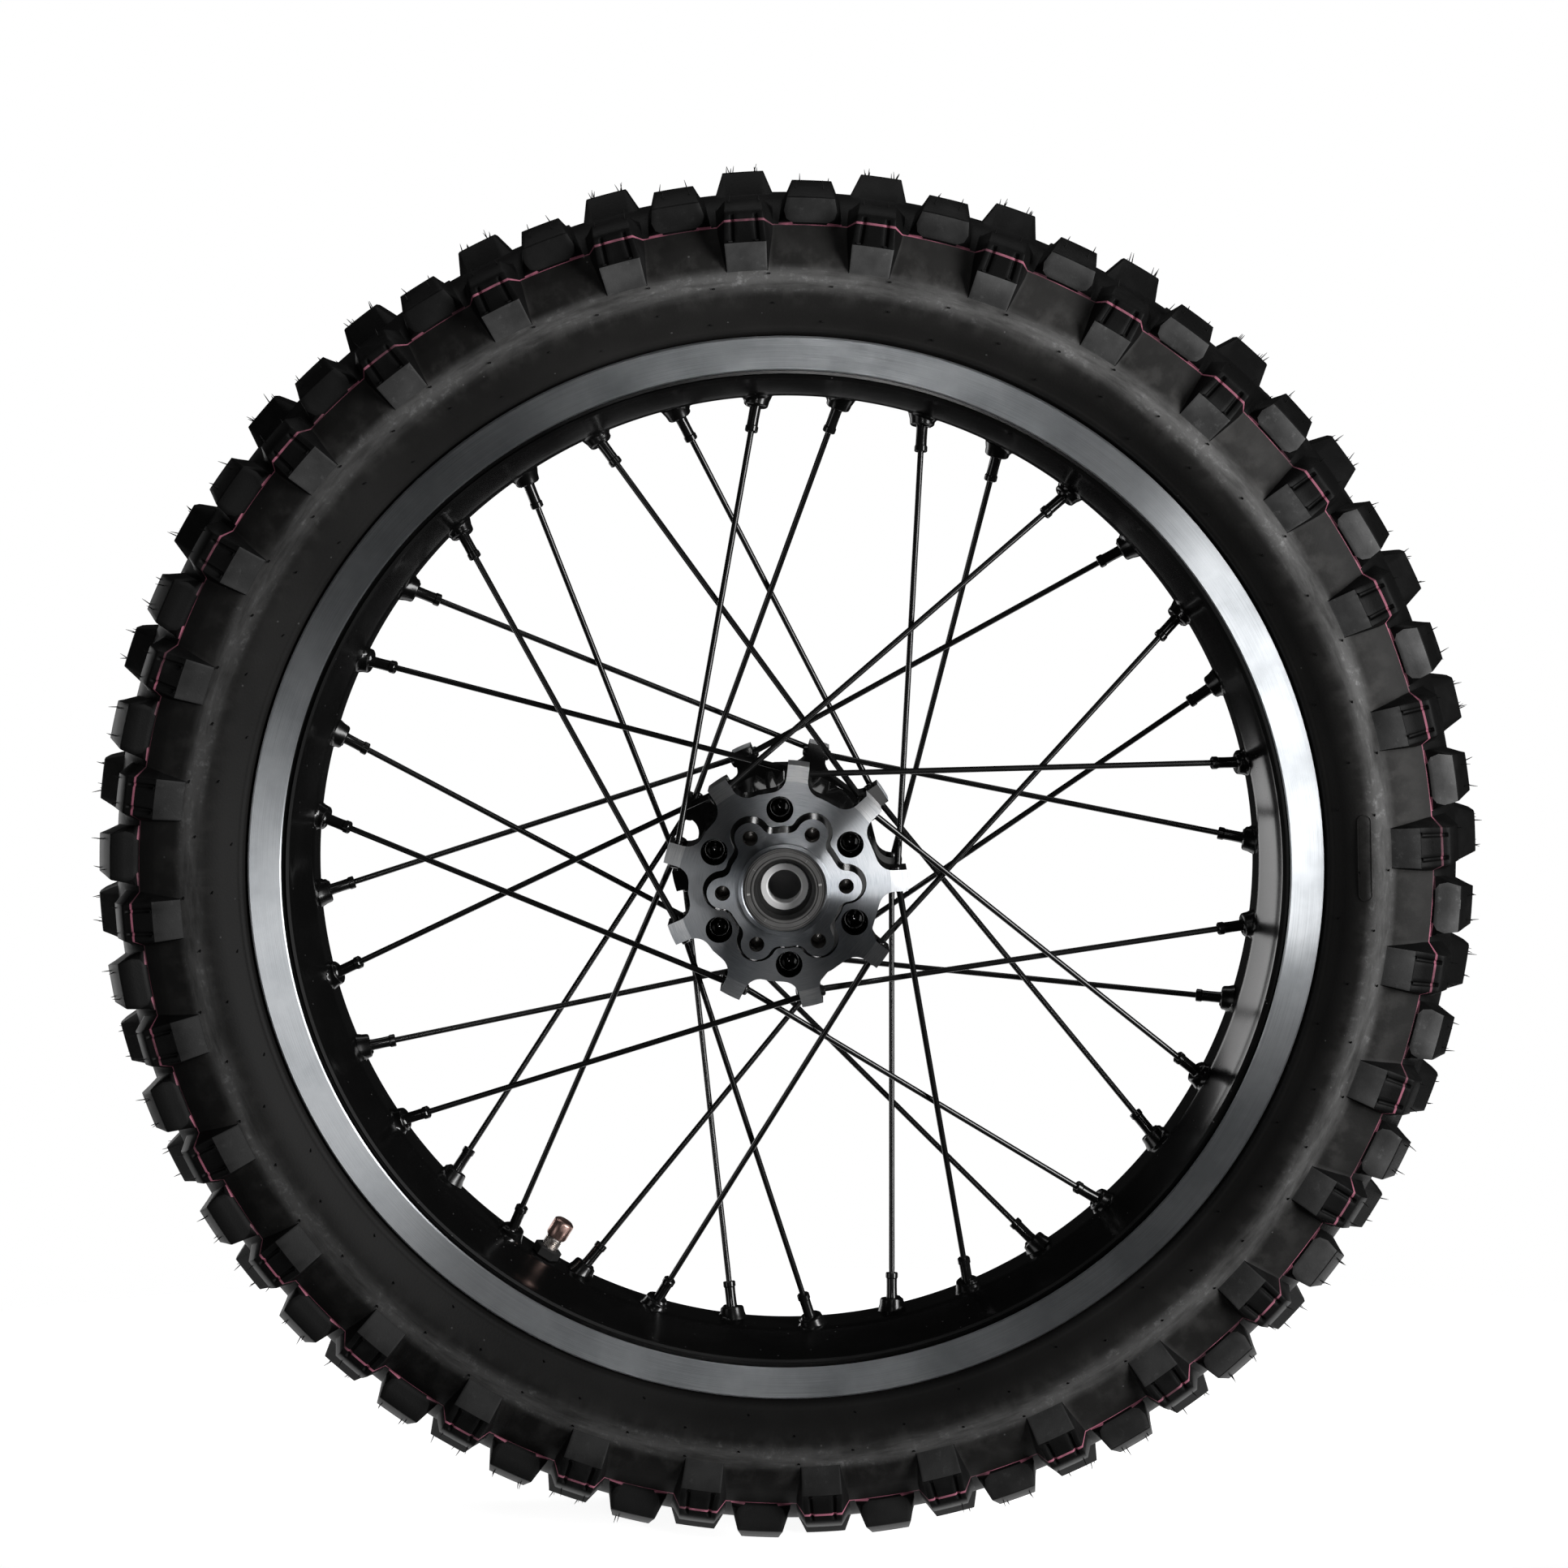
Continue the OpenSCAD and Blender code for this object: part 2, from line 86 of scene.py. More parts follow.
# Hub sizes that follow from them
FLANGE_FACE = LIP_FACE - 8
BOSS_FACE = LIP_FACE - 1
BOLT_CIRCLE_R = 27.5
BOLT_HOLE_R = 3.4
POCKET_CIRCLE_R = 35
POCKET_R = 6
FINGER_TIP_R = 55
BOLT_ANGLE = 3

# Lacing, as the hub and the rim are drilled
FINGERS = 9
FIRST_FINGER = {DISC: 3, SPROCKET: 33}
LACING_ANGLE = 70
SPOKE_HOLE_R = 50.5
SPOKE_DEPTH = {"outer": 4.5, "inner": 12}
SPOKE_R = 1.35
RIM_BED_R = RIM_R - 26.4
NIPPLE_OFFSET = 4.5
BOSS_RISE = 4.5
NIPPLE_LEN = 12
SPOKE_KINDS = tuple(SPOKE_DEPTH)
VALVE_ANGLE = 238

# Tread
PITCHES = 32
PITCH = 360 / PITCHES
KNOB_ANGLE = 3.1

# Painted light on the rubber: the side it is painted lighter towards, and the radius the painted
# shading is measured to, in metres
PAINTED_LIGHT_SIDE = 40
WHEEL_SPAN = 0.3


# ---------------------------------------------------------------- points and meshes

def place(radius, angle, height):
    """A point in metres from radius and height in millimetres and an angle in degrees."""
    turn = math.radians(angle)
    return Vector((radius * math.cos(turn), -height, radius * math.sin(turn))) * MM


def outward(angle):
    """The unit direction away from the axle at an angle."""
    return place(1, angle, 0).normalized()


def new_object(name, verts, faces, materials, face_materials=None, smooth_angle=32):
    """A mesh object from lists, shaded smooth except across edges sharper than the angle."""
    mesh = bpy.data.meshes.new(name)
    mesh.from_pydata([tuple(v) for v in verts], [], faces)
    for material in materials:
        mesh.materials.append(material)
    if face_materials is not None:
        mesh.polygons.foreach_set("material_index", face_materials)
    obj = bpy.data.objects.new(name, mesh)
    bpy.context.scene.collection.objects.link(obj)
    tidy_normals(mesh)
    smooth(mesh, smooth_angle)
    return obj


def tidy_normals(mesh):
    """Turns all faces outwards."""
    work = bmesh.new()
    work.from_mesh(mesh)
    bmesh.ops.recalc_face_normals(work, faces=work.faces)
    work.to_mesh(mesh)
    work.free()


def smooth(mesh, angle):
    """Shades smooth except across edges sharper than the angle."""
    mesh.shade_smooth()
    mesh.set_sharp_from_angle(angle=math.radians(angle))


def apply_modifiers(obj):
    """Puts the evaluated mesh in place of the object's own."""
    graph = bpy.context.evaluated_depsgraph_get()
    mesh = bpy.data.meshes.new_from_object(obj.evaluated_get(graph))
    old = obj.data
    obj.modifiers.clear()
    obj.data = mesh
    mesh.name = old.name
    bpy.data.meshes.remove(old)


def bevel(obj, width, segments, angle, flat_faces=False):
    """Rounds the edges that are sharper than the angle, by a width in millimetres."""
    modifier = obj.modifiers.new("edge_radius", "BEVEL")
    modifier.width = width * MM
    modifier.segments = segments
    modifier.limit_method = "ANGLE"
    modifier.angle_limit = math.radians(angle)
    modifier.use_clamp_overlap = True
    modifier.harden_normals = flat_faces
    apply_modifiers(obj)


def grid_faces(rows, columns, closed_rows=False):
    """Quads between closed rows of points that are stored one row after another."""
    faces = []
    for i in range(rows if closed_rows else rows - 1):
        below = (i + 1) % rows
        for j in range(columns):
            right = (j + 1) % columns
            faces.append((i * columns + j, i * columns + right,
                          below * columns + right, below * columns + j))
    return faces


def lathe(name, outline, materials, choose, steps):
    """A closed (radius, height) outline turned about the axle.

    choose gives the material number of a band of faces from its middle radius.
    """
    verts = [place(r, 360 * j / steps, z) for r, z in outline for j in range(steps)]
    faces = grid_faces(len(outline), steps, closed_rows=True)
    picks = []
    for i, (radius, _) in enumerate(outline):
        next_radius = outline[(i + 1) % len(outline)][0]
        picks += [choose((radius + next_radius) / 2)] * steps
    return new_object(name, verts, faces, materials, picks)


def axes_along(direction):
    """Two unit vectors square to a direction."""
    side = direction.cross(Vector((0, 1, 0)))
    if side.length < 0.01:
        side = direction.cross(Vector((1, 0, 0)))
    side.normalize()
    return side, direction.cross(side).normalized()


def add_turned(parts, start, direction, outline, steps, phase=0):
    """Adds a closed turned solid: outline is (distance along, radius) in millimetres."""
    verts, faces = parts
    side, other = axes_along(direction)
    first = len(verts)
    for along, radius in outline:
        centre = start + direction * along * MM
        for j in range(steps):
            turn = 2 * math.pi * j / steps + phase
            verts.append(centre + (side * math.cos(turn) + other * math.sin(turn)) * radius * MM)
    for face in grid_faces(len(outline), steps):
        faces.append(tuple(first + k for k in face))
    faces.append(tuple(first + j for j in range(steps)))
    faces.append(tuple(first + (len(outline) - 1) * steps + j for j in reversed(range(steps))))


def finish_piece(obj, body, slot_name, *nodes):
    """Hangs a piece on the empty of the body it rides on and hides the CAD nodes it replaces;
    slot_name is not used.
    """
    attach(obj, body)
    if nodes:
        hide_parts(*nodes)
    return obj


# ---------------------------------------------------------------- material helpers

class Nodes:
    """A short way to write a node tree."""

    def __init__(self, name):
        self.material = bpy.data.materials.new(name)
        self.material.use_nodes = True
        self.tree = self.material.node_tree
        self.shader = self.tree.nodes["Principled BSDF"]

    def add(self, kind, **settings):
        node = self.tree.nodes.new(kind)
        for key, value in settings.items():
            setattr(node, key, value)
        return node

    def link(self, source, target):
        self.tree.links.new(source, target)

    def put(self, target, value):
        if isinstance(value, bpy.types.NodeSocket):
            self.link(value, target)
        else:
            target.default_value = value

    def math(self, operation, a, b=0.0, c=0.0, clamp=False):
        node = self.add("ShaderNodeMath", operation=operation, use_clamp=clamp)
        for socket, value in zip(node.inputs, (a, b, c)):
            self.put(socket, value)
        return node.outputs[0]

    def mix(self, factor, a, b):
        node = self.add("ShaderNodeMix", data_type="RGBA")
        self.put(node.inputs[0], factor)
        self.put(node.inputs[6], a)
        self.put(node.inputs[7], b)
        return node.outputs[2]

    def ramp(self, value, low, high, out_low=0.0, out_high=1.0):
        node = self.add("ShaderNodeMapRange", interpolation_type="SMOOTHSTEP")
        for socket, item in zip(node.inputs, (value, low, high, out_low, out_high)):
            self.put(socket, item)
        return node.outputs[0]

    def noise(self, vector, scale, detail=3.0, rough=0.55):
        node = self.add("ShaderNodeTexNoise")
        self.put(node.inputs["Vector"], vector)
        node.inputs["Scale"].default_value = scale
        node.inputs["Detail"].default_value = detail
        node.inputs["Roughness"].default_value = rough
        return node.outputs["Fac"]

    def bump(self, height, distance, strength=1.0, base=None):
        node = self.add("ShaderNodeBump")
        node.inputs["Strength"].default_value = strength
        node.inputs["Distance"].default_value = distance
        self.put(node.inputs["Height"], height)
        if base is not None:
            self.link(base, node.inputs["Normal"])
        return node.outputs["Normal"]

    def place_node(self):
        """The place on the object, in metres."""
        return self.add("ShaderNodeTexCoord").outputs["Object"]

    def wheel_coordinates(self):
        """Radius in millimetres, angle in radians, and the place."""
        place_node = self.place_node()
        split = self.add("ShaderNodeSeparateXYZ")
        self.link(place_node, split.inputs[0])
        x, _, z = split.outputs
        square = self.math("ADD", self.math("MULTIPLY", x, x), self.math("MULTIPLY", z, z))
        radius = self.math("MULTIPLY", self.math("SQRT", square), 1 / MM)
        angle = self.math("ARCTAN2", z, x)
        return radius, angle, place_node

    def shade_across(self, color, place_node, angle, middle, ratio):
        """Multiplies a color by a factor that grows by the ratio from the middle to the edge:
        painted light on one side of the wheel, painted shade on the other.
        """
        split = self.add("ShaderNodeSeparateXYZ")
        self.link(place_node, split.inputs[0])
        turn = math.radians(angle)
        along = self.math("MULTIPLY", split.outputs[0], math.cos(turn) / WHEEL_SPAN)
        along = self.math("MULTIPLY_ADD", split.outputs[2], math.sin(turn) / WHEEL_SPAN, along)
        factor = self.math("MULTIPLY", self.math("POWER", ratio, along), middle)
        shaded = self.mix(1.0, color, self.vector(factor, factor, factor))
        shaded.node.blend_type = "MULTIPLY"
        return shaded

    def around(self, radius, angle, per_mm, per_radian):
        """A texture place that is stretched along the wheel's turn."""
        return self.vector(self.math("MULTIPLY", radius, per_mm),
                           self.math("MULTIPLY", angle, per_radian))

    def vector(self, x, y, z=0.0):
        node = self.add("ShaderNodeCombineXYZ")
        for socket, value in zip(node.inputs, (x, y, z)):
            self.put(socket, value)
        return node.outputs[0]

    def set(self, **values):
        names = {"color": "Base Color", "metal": "Metallic", "rough": "Roughness",
                 "specular": "Specular IOR Level", "normal": "Normal", "tangent": "Tangent",
                 "aniso": "Anisotropic", "aniso_turn": "Anisotropic Rotation"}
        for key, value in values.items():
            self.put(self.shader.inputs[names[key]], value)
        return self.material


def grey(level, warmth=0.0):
    """A linear grey; positive warmth leans to red, negative to blue."""
    return (level * (1 + warmth), level, level * (1 - warmth), 1.0)


def specks(n, place_node, scale, size):
    """Small scattered spots: 1 in a spot, 0 elsewhere."""
    node = n.add("ShaderNodeTexVoronoi")
    n.link(place_node, node.inputs["Vector"])
    node.inputs["Scale"].default_value = scale
    near = n.math("LESS_THAN", node.outputs["Distance"], size)
    chosen = n.add("ShaderNodeSeparateColor")
    n.link(node.outputs["Color"], chosen.inputs[0])
    return n.math("MULTIPLY", near, n.math("GREATER_THAN", chosen.outputs[0], 0.62))


# ---------------------------------------------------------------- materials

def sidewall_haze(n, radius, angle, cloud):
    """How grey the sidewall is: streaks round the bulge and a cloudy haze all over."""
    streak = n.noise(n.around(radius, angle, 0.03, 9), 3, 5)
    band = n.math("MULTIPLY", n.ramp(radius, 253, 266), n.ramp(radius, 270, 290, 1.0, 0.25))
    dust = n.math("MULTIPLY", band, n.ramp(streak, 0.42, 0.68))
    haze = n.math("MULTIPLY", n.ramp(cloud, 0.35, 0.75), 0.45)
    return n.math("ADD", n.math("MULTIPLY", dust, 0.75), haze, clamp=True)


def bulge_sheen_and_dust(n, radius, angle, color):
    """Adds to a color a pale band on the bulge, a painted reflection of a lamp in front broken into
    dusty patches, and the scuffs on it.
    """
    bulge = n.math("MULTIPLY", n.ramp(radius, 260, 268), n.ramp(radius, 269, 275, 1.0, 0.0))
    patches = n.noise(n.around(radius, angle, 0.05, 2.2), 2.4, 5, 0.65)
    # Painted reflection: the pale band stands for the sheen of a lamp in front, made patchy by dust.
    dusty = n.math("MULTIPLY", bulge, n.ramp(patches, 0.3, 0.6, 0.25, 1.0))
    color = n.mix(dusty, color, grey(0.065, 0.01))
    scuff = n.noise(n.around(radius, angle, 0.12, 26), 2.2, 6, 0.7)
    scuffs = n.math("MULTIPLY", n.ramp(scuff, 0.48, 0.74), n.ramp(patches, 0.46, 0.62))
    return n.mix(n.math("MULTIPLY", bulge, scuffs), color, grey(0.15))


def tyre_rubber():
    """Dusty black rubber: darker by the rim and under the tread, lighter on the bulge with a painted
    reflection, and painted lighter towards one side.
    """
    n = Nodes("tyre_rubber")
    radius, angle, place_node = n.wheel_coordinates()
    cloud = n.noise(place_node, 9, 4)
    fine = n.noise(place_node, 900, 2)
    amount = sidewall_haze(n, radius, angle, cloud)
    color = n.mix(amount, grey(0.006, 0.03), grey(0.022, 0.03))
    color = bulge_sheen_and_dust(n, radius, angle, color)
    spots = specks(n, place_node, 130, 0.06)
    color = n.mix(n.math("MULTIPLY", spots, 0.3), color, grey(0.12))
    # Painted light and shade: the rubber grows lighter towards one side of the wheel and darker
    # towards the other.
    color = n.shade_across(color, place_node, PAINTED_LIGHT_SIDE, 1.6, 1.9)
    rough = n.math("ADD", n.math("MULTIPLY", amount, 0.12), 0.55)
    normal = n.bump(cloud, 0.0006, 0.5, n.bump(fine, 0.00006))
    return n.set(color=color, rough=rough, specular=0.12, normal=normal)


def pad_rubber(name, level, lit_side, ratio):
    """The moulded faces of the knobs, paler with mould release, with painted light that makes them
    lighter towards one side.
    """
    n = Nodes(name)
    place_node = n.place_node()
    cloud = n.noise(place_node, 45, 4)
    fine = n.noise(place_node, 1200, 2)
    wear = n.noise(place_node, 210, 5, 0.7)
    color = n.mix(n.ramp(cloud, 0.3, 0.75), grey(level * 0.6), grey(level * 1.3))
    color = n.mix(n.ramp(wear, 0.56, 0.76, 0.0, 0.35), color, grey(level * 3))
    # Painted light and shade: lighter towards one side of the wheel, darker towards the other.
    color = n.shade_across(color, place_node, lit_side, 1.0, ratio)
    rough = n.ramp(cloud, 0.2, 0.8, 0.5, 0.66)
    return n.set(color=color, rough=rough, specular=0.16, normal=n.bump(fine, 0.00005))


def tread_rubber():
    """Clean black rubber of the knob tops and flanks."""
    n = Nodes("tread_rubber")
    place_node = n.place_node()
    cloud = n.noise(place_node, 60, 4)
    fine = n.noise(place_node, 1100, 2)
    color = n.mix(n.ramp(cloud, 0.45, 0.8), grey(0.005), grey(0.012))
    return n.set(color=color, rough=0.5, specular=0.09, normal=n.bump(fine, 0.00005))


def tread_line_paint():
    """The thin pink line of paint round the tread."""
    n = Nodes("tread_line_paint")
    place_node = n.place_node()
    worn = n.ramp(n.noise(place_node, 60, 4), 0.42, 0.62)
    pink = (0.40, 0.13, 0.19, 1.0)
    dull = (0.11, 0.045, 0.06, 1.0)
    return n.set(color=n.mix(worn, pink, dull), rough=0.6, specular=0.3)


def brushed_rings(name, dark, light, rough_low, rough_high, lean, step=None):
    """Turned metal: fine rings about the axle, with a highlight that fans out from it.

    lean tilts the rings a little outwards, as a slope, which makes one side of the fan brighter
    than the other. Inside the radius given as step the metal is darker.
    """
    n = Nodes(name)
    radius, angle, place_node = n.wheel_coordinates()
    rings = n.noise(n.around(radius, angle, 3.0, 1.6), 3, 4)
    cloud = n.noise(place_node, 30, 4)
    blend = n.math("ADD", n.math("MULTIPLY", rings, 0.55), n.math("MULTIPLY", cloud, 0.6))
    color = n.mix(n.ramp(blend, 0.3, 0.8), dark, light)
    rough = n.ramp(blend, 0.3, 0.8, rough_high, rough_low)
    if step:
        outside = n.math("GREATER_THAN", radius, step)
        color = n.mix(n.math("MULTIPLY_ADD", outside, -0.5, 0.5), color, dark)
        rough = n.math("MULTIPLY_ADD", outside, 0.05, rough)
    leaning = n.bump(n.math("MULTIPLY", radius, -lean), MM)
    tangent = n.add("ShaderNodeTangent", direction_type="RADIAL", axis="Y").outputs[0]
    n.set(color=color, metal=1.0, rough=rough, aniso=0.97, aniso_turn=0.25, tangent=tangent)
    return n.set(normal=n.bump(rings, 0.00003, base=leaning))


def gloss_black(name, level, rough, dusty=True, specular=0.5):
    """Black anodising or paint with a clear shine and a little dust."""
    n = Nodes(name)
    place_node = n.place_node()
    cloud = n.noise(place_node, 25, 4)
    color = n.mix(n.ramp(cloud, 0.4, 0.8), grey(level), grey(level * 1.8))
    if dusty:
        spots = specks(n, place_node, 260, 0.09)
        color = n.mix(n.math("MULTIPLY", spots, 0.35), color, grey(0.16))
    roughness = n.ramp(cloud, 0.3, 0.8, rough, rough * 1.5)
    return n.set(color=color, rough=roughness, specular=specular)


def satin_black(name, level, rough):
    """Satin black of the spokes and fasteners."""
    n = Nodes(name)
    place_node = n.place_node()
    grain = n.noise(place_node, 60, 3)
    color = n.mix(grain, grey(level), grey(level * 2.2))
    return n.set(color=color, rough=n.ramp(grain, 0.2, 0.8, rough, rough + 0.04), specular=0.55)


def plain_metal(name, color, rough, metal=1.0):
    """Bare metal with a slightly uneven polish; less metal means a paler, more diffuse surface."""
    n = Nodes(name)
    place_node = n.place_node()
    cloud = n.noise(place_node, 220, 4)
    dull = tuple(c * 0.8 for c in color[:3]) + (1.0,)
    roughness = n.ramp(cloud, 0.3, 0.75, rough, rough + 0.14)
    return n.set(color=n.mix(cloud, dull, color), metal=metal, rough=roughness)


def moulded_rubber(name, level, rough=0.55):
    """Seal, strip and tube rubber."""
    n = Nodes(name)
    place_node = n.place_node()
    cloud = n.noise(place_node, 120, 4)
    fine = n.noise(place_node, 1500, 2)
    color = n.mix(n.ramp(cloud, 0.3, 0.8), grey(level, 0.02), grey(level * 1.5, 0.02))
    return n.set(color=color, rough=rough, specular=0.4, normal=n.bump(fine, 0.00003))


def studio_paint(name, level):
    """The matt white of the floor, lit softly from below like a light table."""
    n = Nodes(name)
    cloud = n.noise(n.place_node(), 3, 2)
    n.put(n.shader.inputs["Emission Color"], grey(1.0))
    n.put(n.shader.inputs["Emission Strength"], 0.9)
    return n.set(color=n.mix(cloud, grey(level * 0.985), grey(level)), rough=0.85, specular=0.1)


SIDEWALL = tyre_rubber()
# The last two numbers of each pad set its painted light: the side it grows towards and how much.
PAD = pad_rubber("pad_rubber", 0.046, 50, 2.4)
SIDE_PAD = pad_rubber("side_pad_rubber", 0.016, 15, 11.0)
TREAD = tread_rubber()
PINK = tread_line_paint()
RIM_MACHINED = brushed_rings("rim_machined", (0.44, 0.465, 0.49, 1), (0.90, 0.93, 0.96, 1),
                             0.36, 0.46, 0.03)
RIM_BLACK = gloss_black("rim_black", 0.003, 0.16)
SEAT_BLACK = gloss_black("seat_black", 0.003, 0.2, dusty=False)
HUB_MACHINED = brushed_rings("hub_machined", (0.22, 0.245, 0.28, 1), (1.0, 1.0, 1.0, 1),
                             0.29, 0.38, 0.2, step=47.5)
HUB_BLACK = gloss_black("hub_black", 0.003, 0.08, dusty=False, specular=1.0)
BARE_METAL = plain_metal("bare_metal", (0.26, 0.25, 0.24, 1), 0.24)
# Near-white, nearly diffuse races: a painted reflection standing in for the bright shine of the
# bearing races.
RACE_PAINTED_SHINE = plain_metal("race_painted_shine", (0.97, 0.97, 0.97, 1), 0.3, 0.1)
CAGE_STEEL = plain_metal("cage_steel", (0.55, 0.53, 0.50, 1), 0.35)
SPACER_METAL = plain_metal("spacer_metal", (0.55, 0.55, 0.56, 1), 0.38)
SPOKE_BLACK = satin_black("spoke_black", 0.004, 0.2)
NIPPLE_BLACK = satin_black("nipple_black", 0.004, 0.14)
NUT_BLACK = satin_black("nut_black", 0.012, 0.34)
SEAL_GREY = moulded_rubber("seal_grey", 0.085)
SEAL_DARK = moulded_rubber("seal_dark", 0.015, 0.4)
SEAL_MARK = moulded_rubber("seal_mark", 0.35)
STRIP_RUBBER = moulded_rubber("strip_rubber", 0.03)
TUBE_RUBBER = moulded_rubber("tube_rubber", 0.014)
VALVE_METAL = plain_metal("valve_metal", (0.80, 0.74, 0.70, 1), 0.22)
VALVE_BRASS = plain_metal("valve_brass", (0.72, 0.52, 0.22, 1), 0.28)
CAP_METAL = plain_metal("cap_metal", (0.72, 0.48, 0.42, 1), 0.30)


# ---------------------------------------------------------------- tyre

# Outline between the knobs, from the bead to the middle of the tread
GAP = [
    (229.7, 27), (242.3, 27.2), (244, 30.4), (245.2, 34.2), (246, 35.4), (247.2, 35.9),
    (248.2, 36.3), (252, 40), (257, 43.2), (262, 45), (267, 45.7), (271.8, 45.5),
    (272.8, 45.4), (278, 44.4), (283.6, 42.7), (284.8, 42.2), (288, 40.6), (291.4, 38.7),
    (291.9, 38.4), (292.5, 38), (293.8, 37), (295.4, 35.7), (297.4, 33.8), (298.8, 32.3),
    (299.9, 30.9), (301.2, 29.1), (302.6, 26.8), (303.9, 24), (305.2, 20.4), (306, 17.6),
    (306.5, 15.4), (307.1, 11.6), (307.6, 7), (308, 0),
]
# Each knob: the first row of the outline that it covers, then its own points from there
SHOULDER_ROW = 11
SHOULDER = [
    (271.8, 45.5), (272.6, 46.1), (278.3, 48.4), (284.0, 50.75), (284.9, 50.2),
    (289.2, 49.75), (293.1, 49.3), (294.1, 49.2), (295.4, 49.05), (296.6, 48.95),
    (297.9, 48.2), (300.4, 43.9), (302.9, 39.5), (299.9, 30.9),
]
SIDE_ROW = 18
SIDE = [
    (291.9, 38.4), (292.6, 39.4), (294.2, 40.1), (297.5, 41.6), (303.1, 44.0),
    (303.9, 43.1), (307.6, 36.6), (311.5, 29.8), (311.0, 28.4), (303.9, 24),
]
CENTRE_ROW = 29
CENTRE = [(306, 17.6), (TYRE_R - 1.3, 12), (TYRE_R - 0.8, 11), (TYRE_R, 5.5), (TYRE_R, 0)]
PINK_ROW = 17
PAD_ROWS = range(11, 14)
SIDE_FACE_ROWS = range(19, 22)
GROOVE_ROWS = range(15, 20)
GROOVE_DEPTH = 1.3
SHOULDER_COLUMNS = [0, 0.3, 0.48, 0.54, 0.66, 0.72, 0.88, 1]
SIDE_COLUMNS = [1, 0.8, 0.4, 0]
# Inside of the casing, from the bead to the middle of the tread
INSIDE = [
    (229.7, 18.6), (239.5, 19), (242.6, 23.4), (247.5, 31), (253, 37.6), (259, 40.8),
    (267, 41.6), (276, 40.6), (285, 36.4), (293, 29), (299, 18), (301.3, 0),
]


# Materials of the tyre's faces, in the order of its slots
TYRE_MATERIALS = [SIDEWALL, PAD, TREAD, PINK, SIDE_PAD]
SIDEWALL_FACE, PAD_FACE, TREAD_FACE, PINK_FACE, SIDE_PAD_FACE = range(5)


def between(value, low, high, at_low, at_high):
    """A value that goes evenly from at_low to at_high as the first goes from low to high."""
    share = min(max((value - low) / (high - low), 0), 1)
    return at_low + (at_high - at_low) * share


def shoulder_half_angles(row):
    """Half-angles of the top and of the foot of the shoulder and centre knobs."""
    if row >= CENTRE_ROW:
        return 1.65, 2.35
    knob = SHOULDER[row - SHOULDER_ROW] if 0 <= row - SHOULDER_ROW < len(SHOULDER) else GAP[row]
    top = between(knob[0], 284.5, 303, 1.86, 1.52)
    foot = between(GAP[row][0], 271.8, 289, 1.92, 2.4)
    return top, foot


def side_half_angles(row):
    """Half-angles of the top and of the foot of the side knobs, round at the foot's corners."""
    steps_in = row - SIDE_ROW
    knob = SIDE[steps_in] if 0 <= steps_in < len(SIDE) else GAP[row]
    top = between(knob[0], 297, 311, 2.28, 1.6)
    corner = {0: 0.62, 1: 0.68, 2: 0.9}.get(steps_in, 1)
    foot = between(GAP[row][0], 292, 304, 2.72, 2.35)
    return top * corner, foot


def row_columns(row):
    """(angle from the shoulder knob's middle, zone) across half a pitch of one row."""
    top, foot = shoulder_half_angles(row)
    side_top, side_foot = side_half_angles(row)
    half = PITCH / 2
    columns = [(share * top, "knob") for share in SHOULDER_COLUMNS]
    columns += [(foot, "gap"), ((foot + half - side_foot) / 2, "gap"), (half - side_foot, "gap")]
    columns += [(half - share * side_top, "side") for share in SIDE_COLUMNS]
    return columns


def tread_point(row, zone, column):
    """(radius, height) of a point of the outside of the tyre."""
    if zone == "knob" and row >= CENTRE_ROW:
        return CENTRE[row - CENTRE_ROW]
    if zone == "knob" and 0 <= row - SHOULDER_ROW < len(SHOULDER):
        radius, height = SHOULDER[row - SHOULDER_ROW]
        if row in GROOVE_ROWS and column in (3, 4):
            height -= GROOVE_DEPTH
        return radius, height
    if zone == "side" and 0 <= row - SIDE_ROW < len(SIDE):
        return SIDE[row - SIDE_ROW]
    return GAP[row]


def half_row(row):
    """(angle, radius, height) of the points across a whole pitch of one row."""
    columns = row_columns(row)
    points = []
    for column, (angle, zone) in enumerate(columns):
        radius, height = tread_point(row, zone, column)
        points.append((angle, radius, height))
    mirror = [(-a, r, z) for a, r, z in reversed(points[1:-1])]
    return mirror + points


def face_material(row, column, half_columns):
    """Material number of a face of the tread between a row and the next one out."""
    knob_edge = len(SHOULDER_COLUMNS) - 1
    side_edge = half_columns - len(SIDE_COLUMNS)
    if row == PINK_ROW:
        return PINK_FACE
    if row == SIDE_ROW and column == side_edge - 1:
        return PINK_FACE
    if row in PAD_ROWS and column < knob_edge:
        return PAD_FACE
    if row in SIDE_FACE_ROWS and column >= side_edge:
        return SIDE_PAD_FACE
    if row >= SHOULDER_ROW and column < knob_edge + 1:
        return TREAD_FACE
    return TREAD_FACE if row >= PINK_ROW else SIDEWALL_FACE


def flipped(ring):
    """The same ring of points on the sprocket side."""
    return [(angle, radius, -height) for angle, radius, height in ring]


def tyre_rings():
    """Rings of (angle, radius, height) once round the casing: the outside, then the inside."""
    outside = []
    for row in range(len(GAP)):
        outside.append([(KNOB_ANGLE + k * PITCH + a, r, z)
                        for k in range(PITCHES) for a, r, z in half_row(row)])
    angles = [angle for angle, _, _ in outside[0]]
    inside = [[(a, r, z) for a in angles] for r, z in INSIDE]
    rings = [flipped(ring) for ring in outside[:-1]] + outside[::-1]
    return rings + inside + [flipped(ring) for ring in reversed(inside[:-1])]


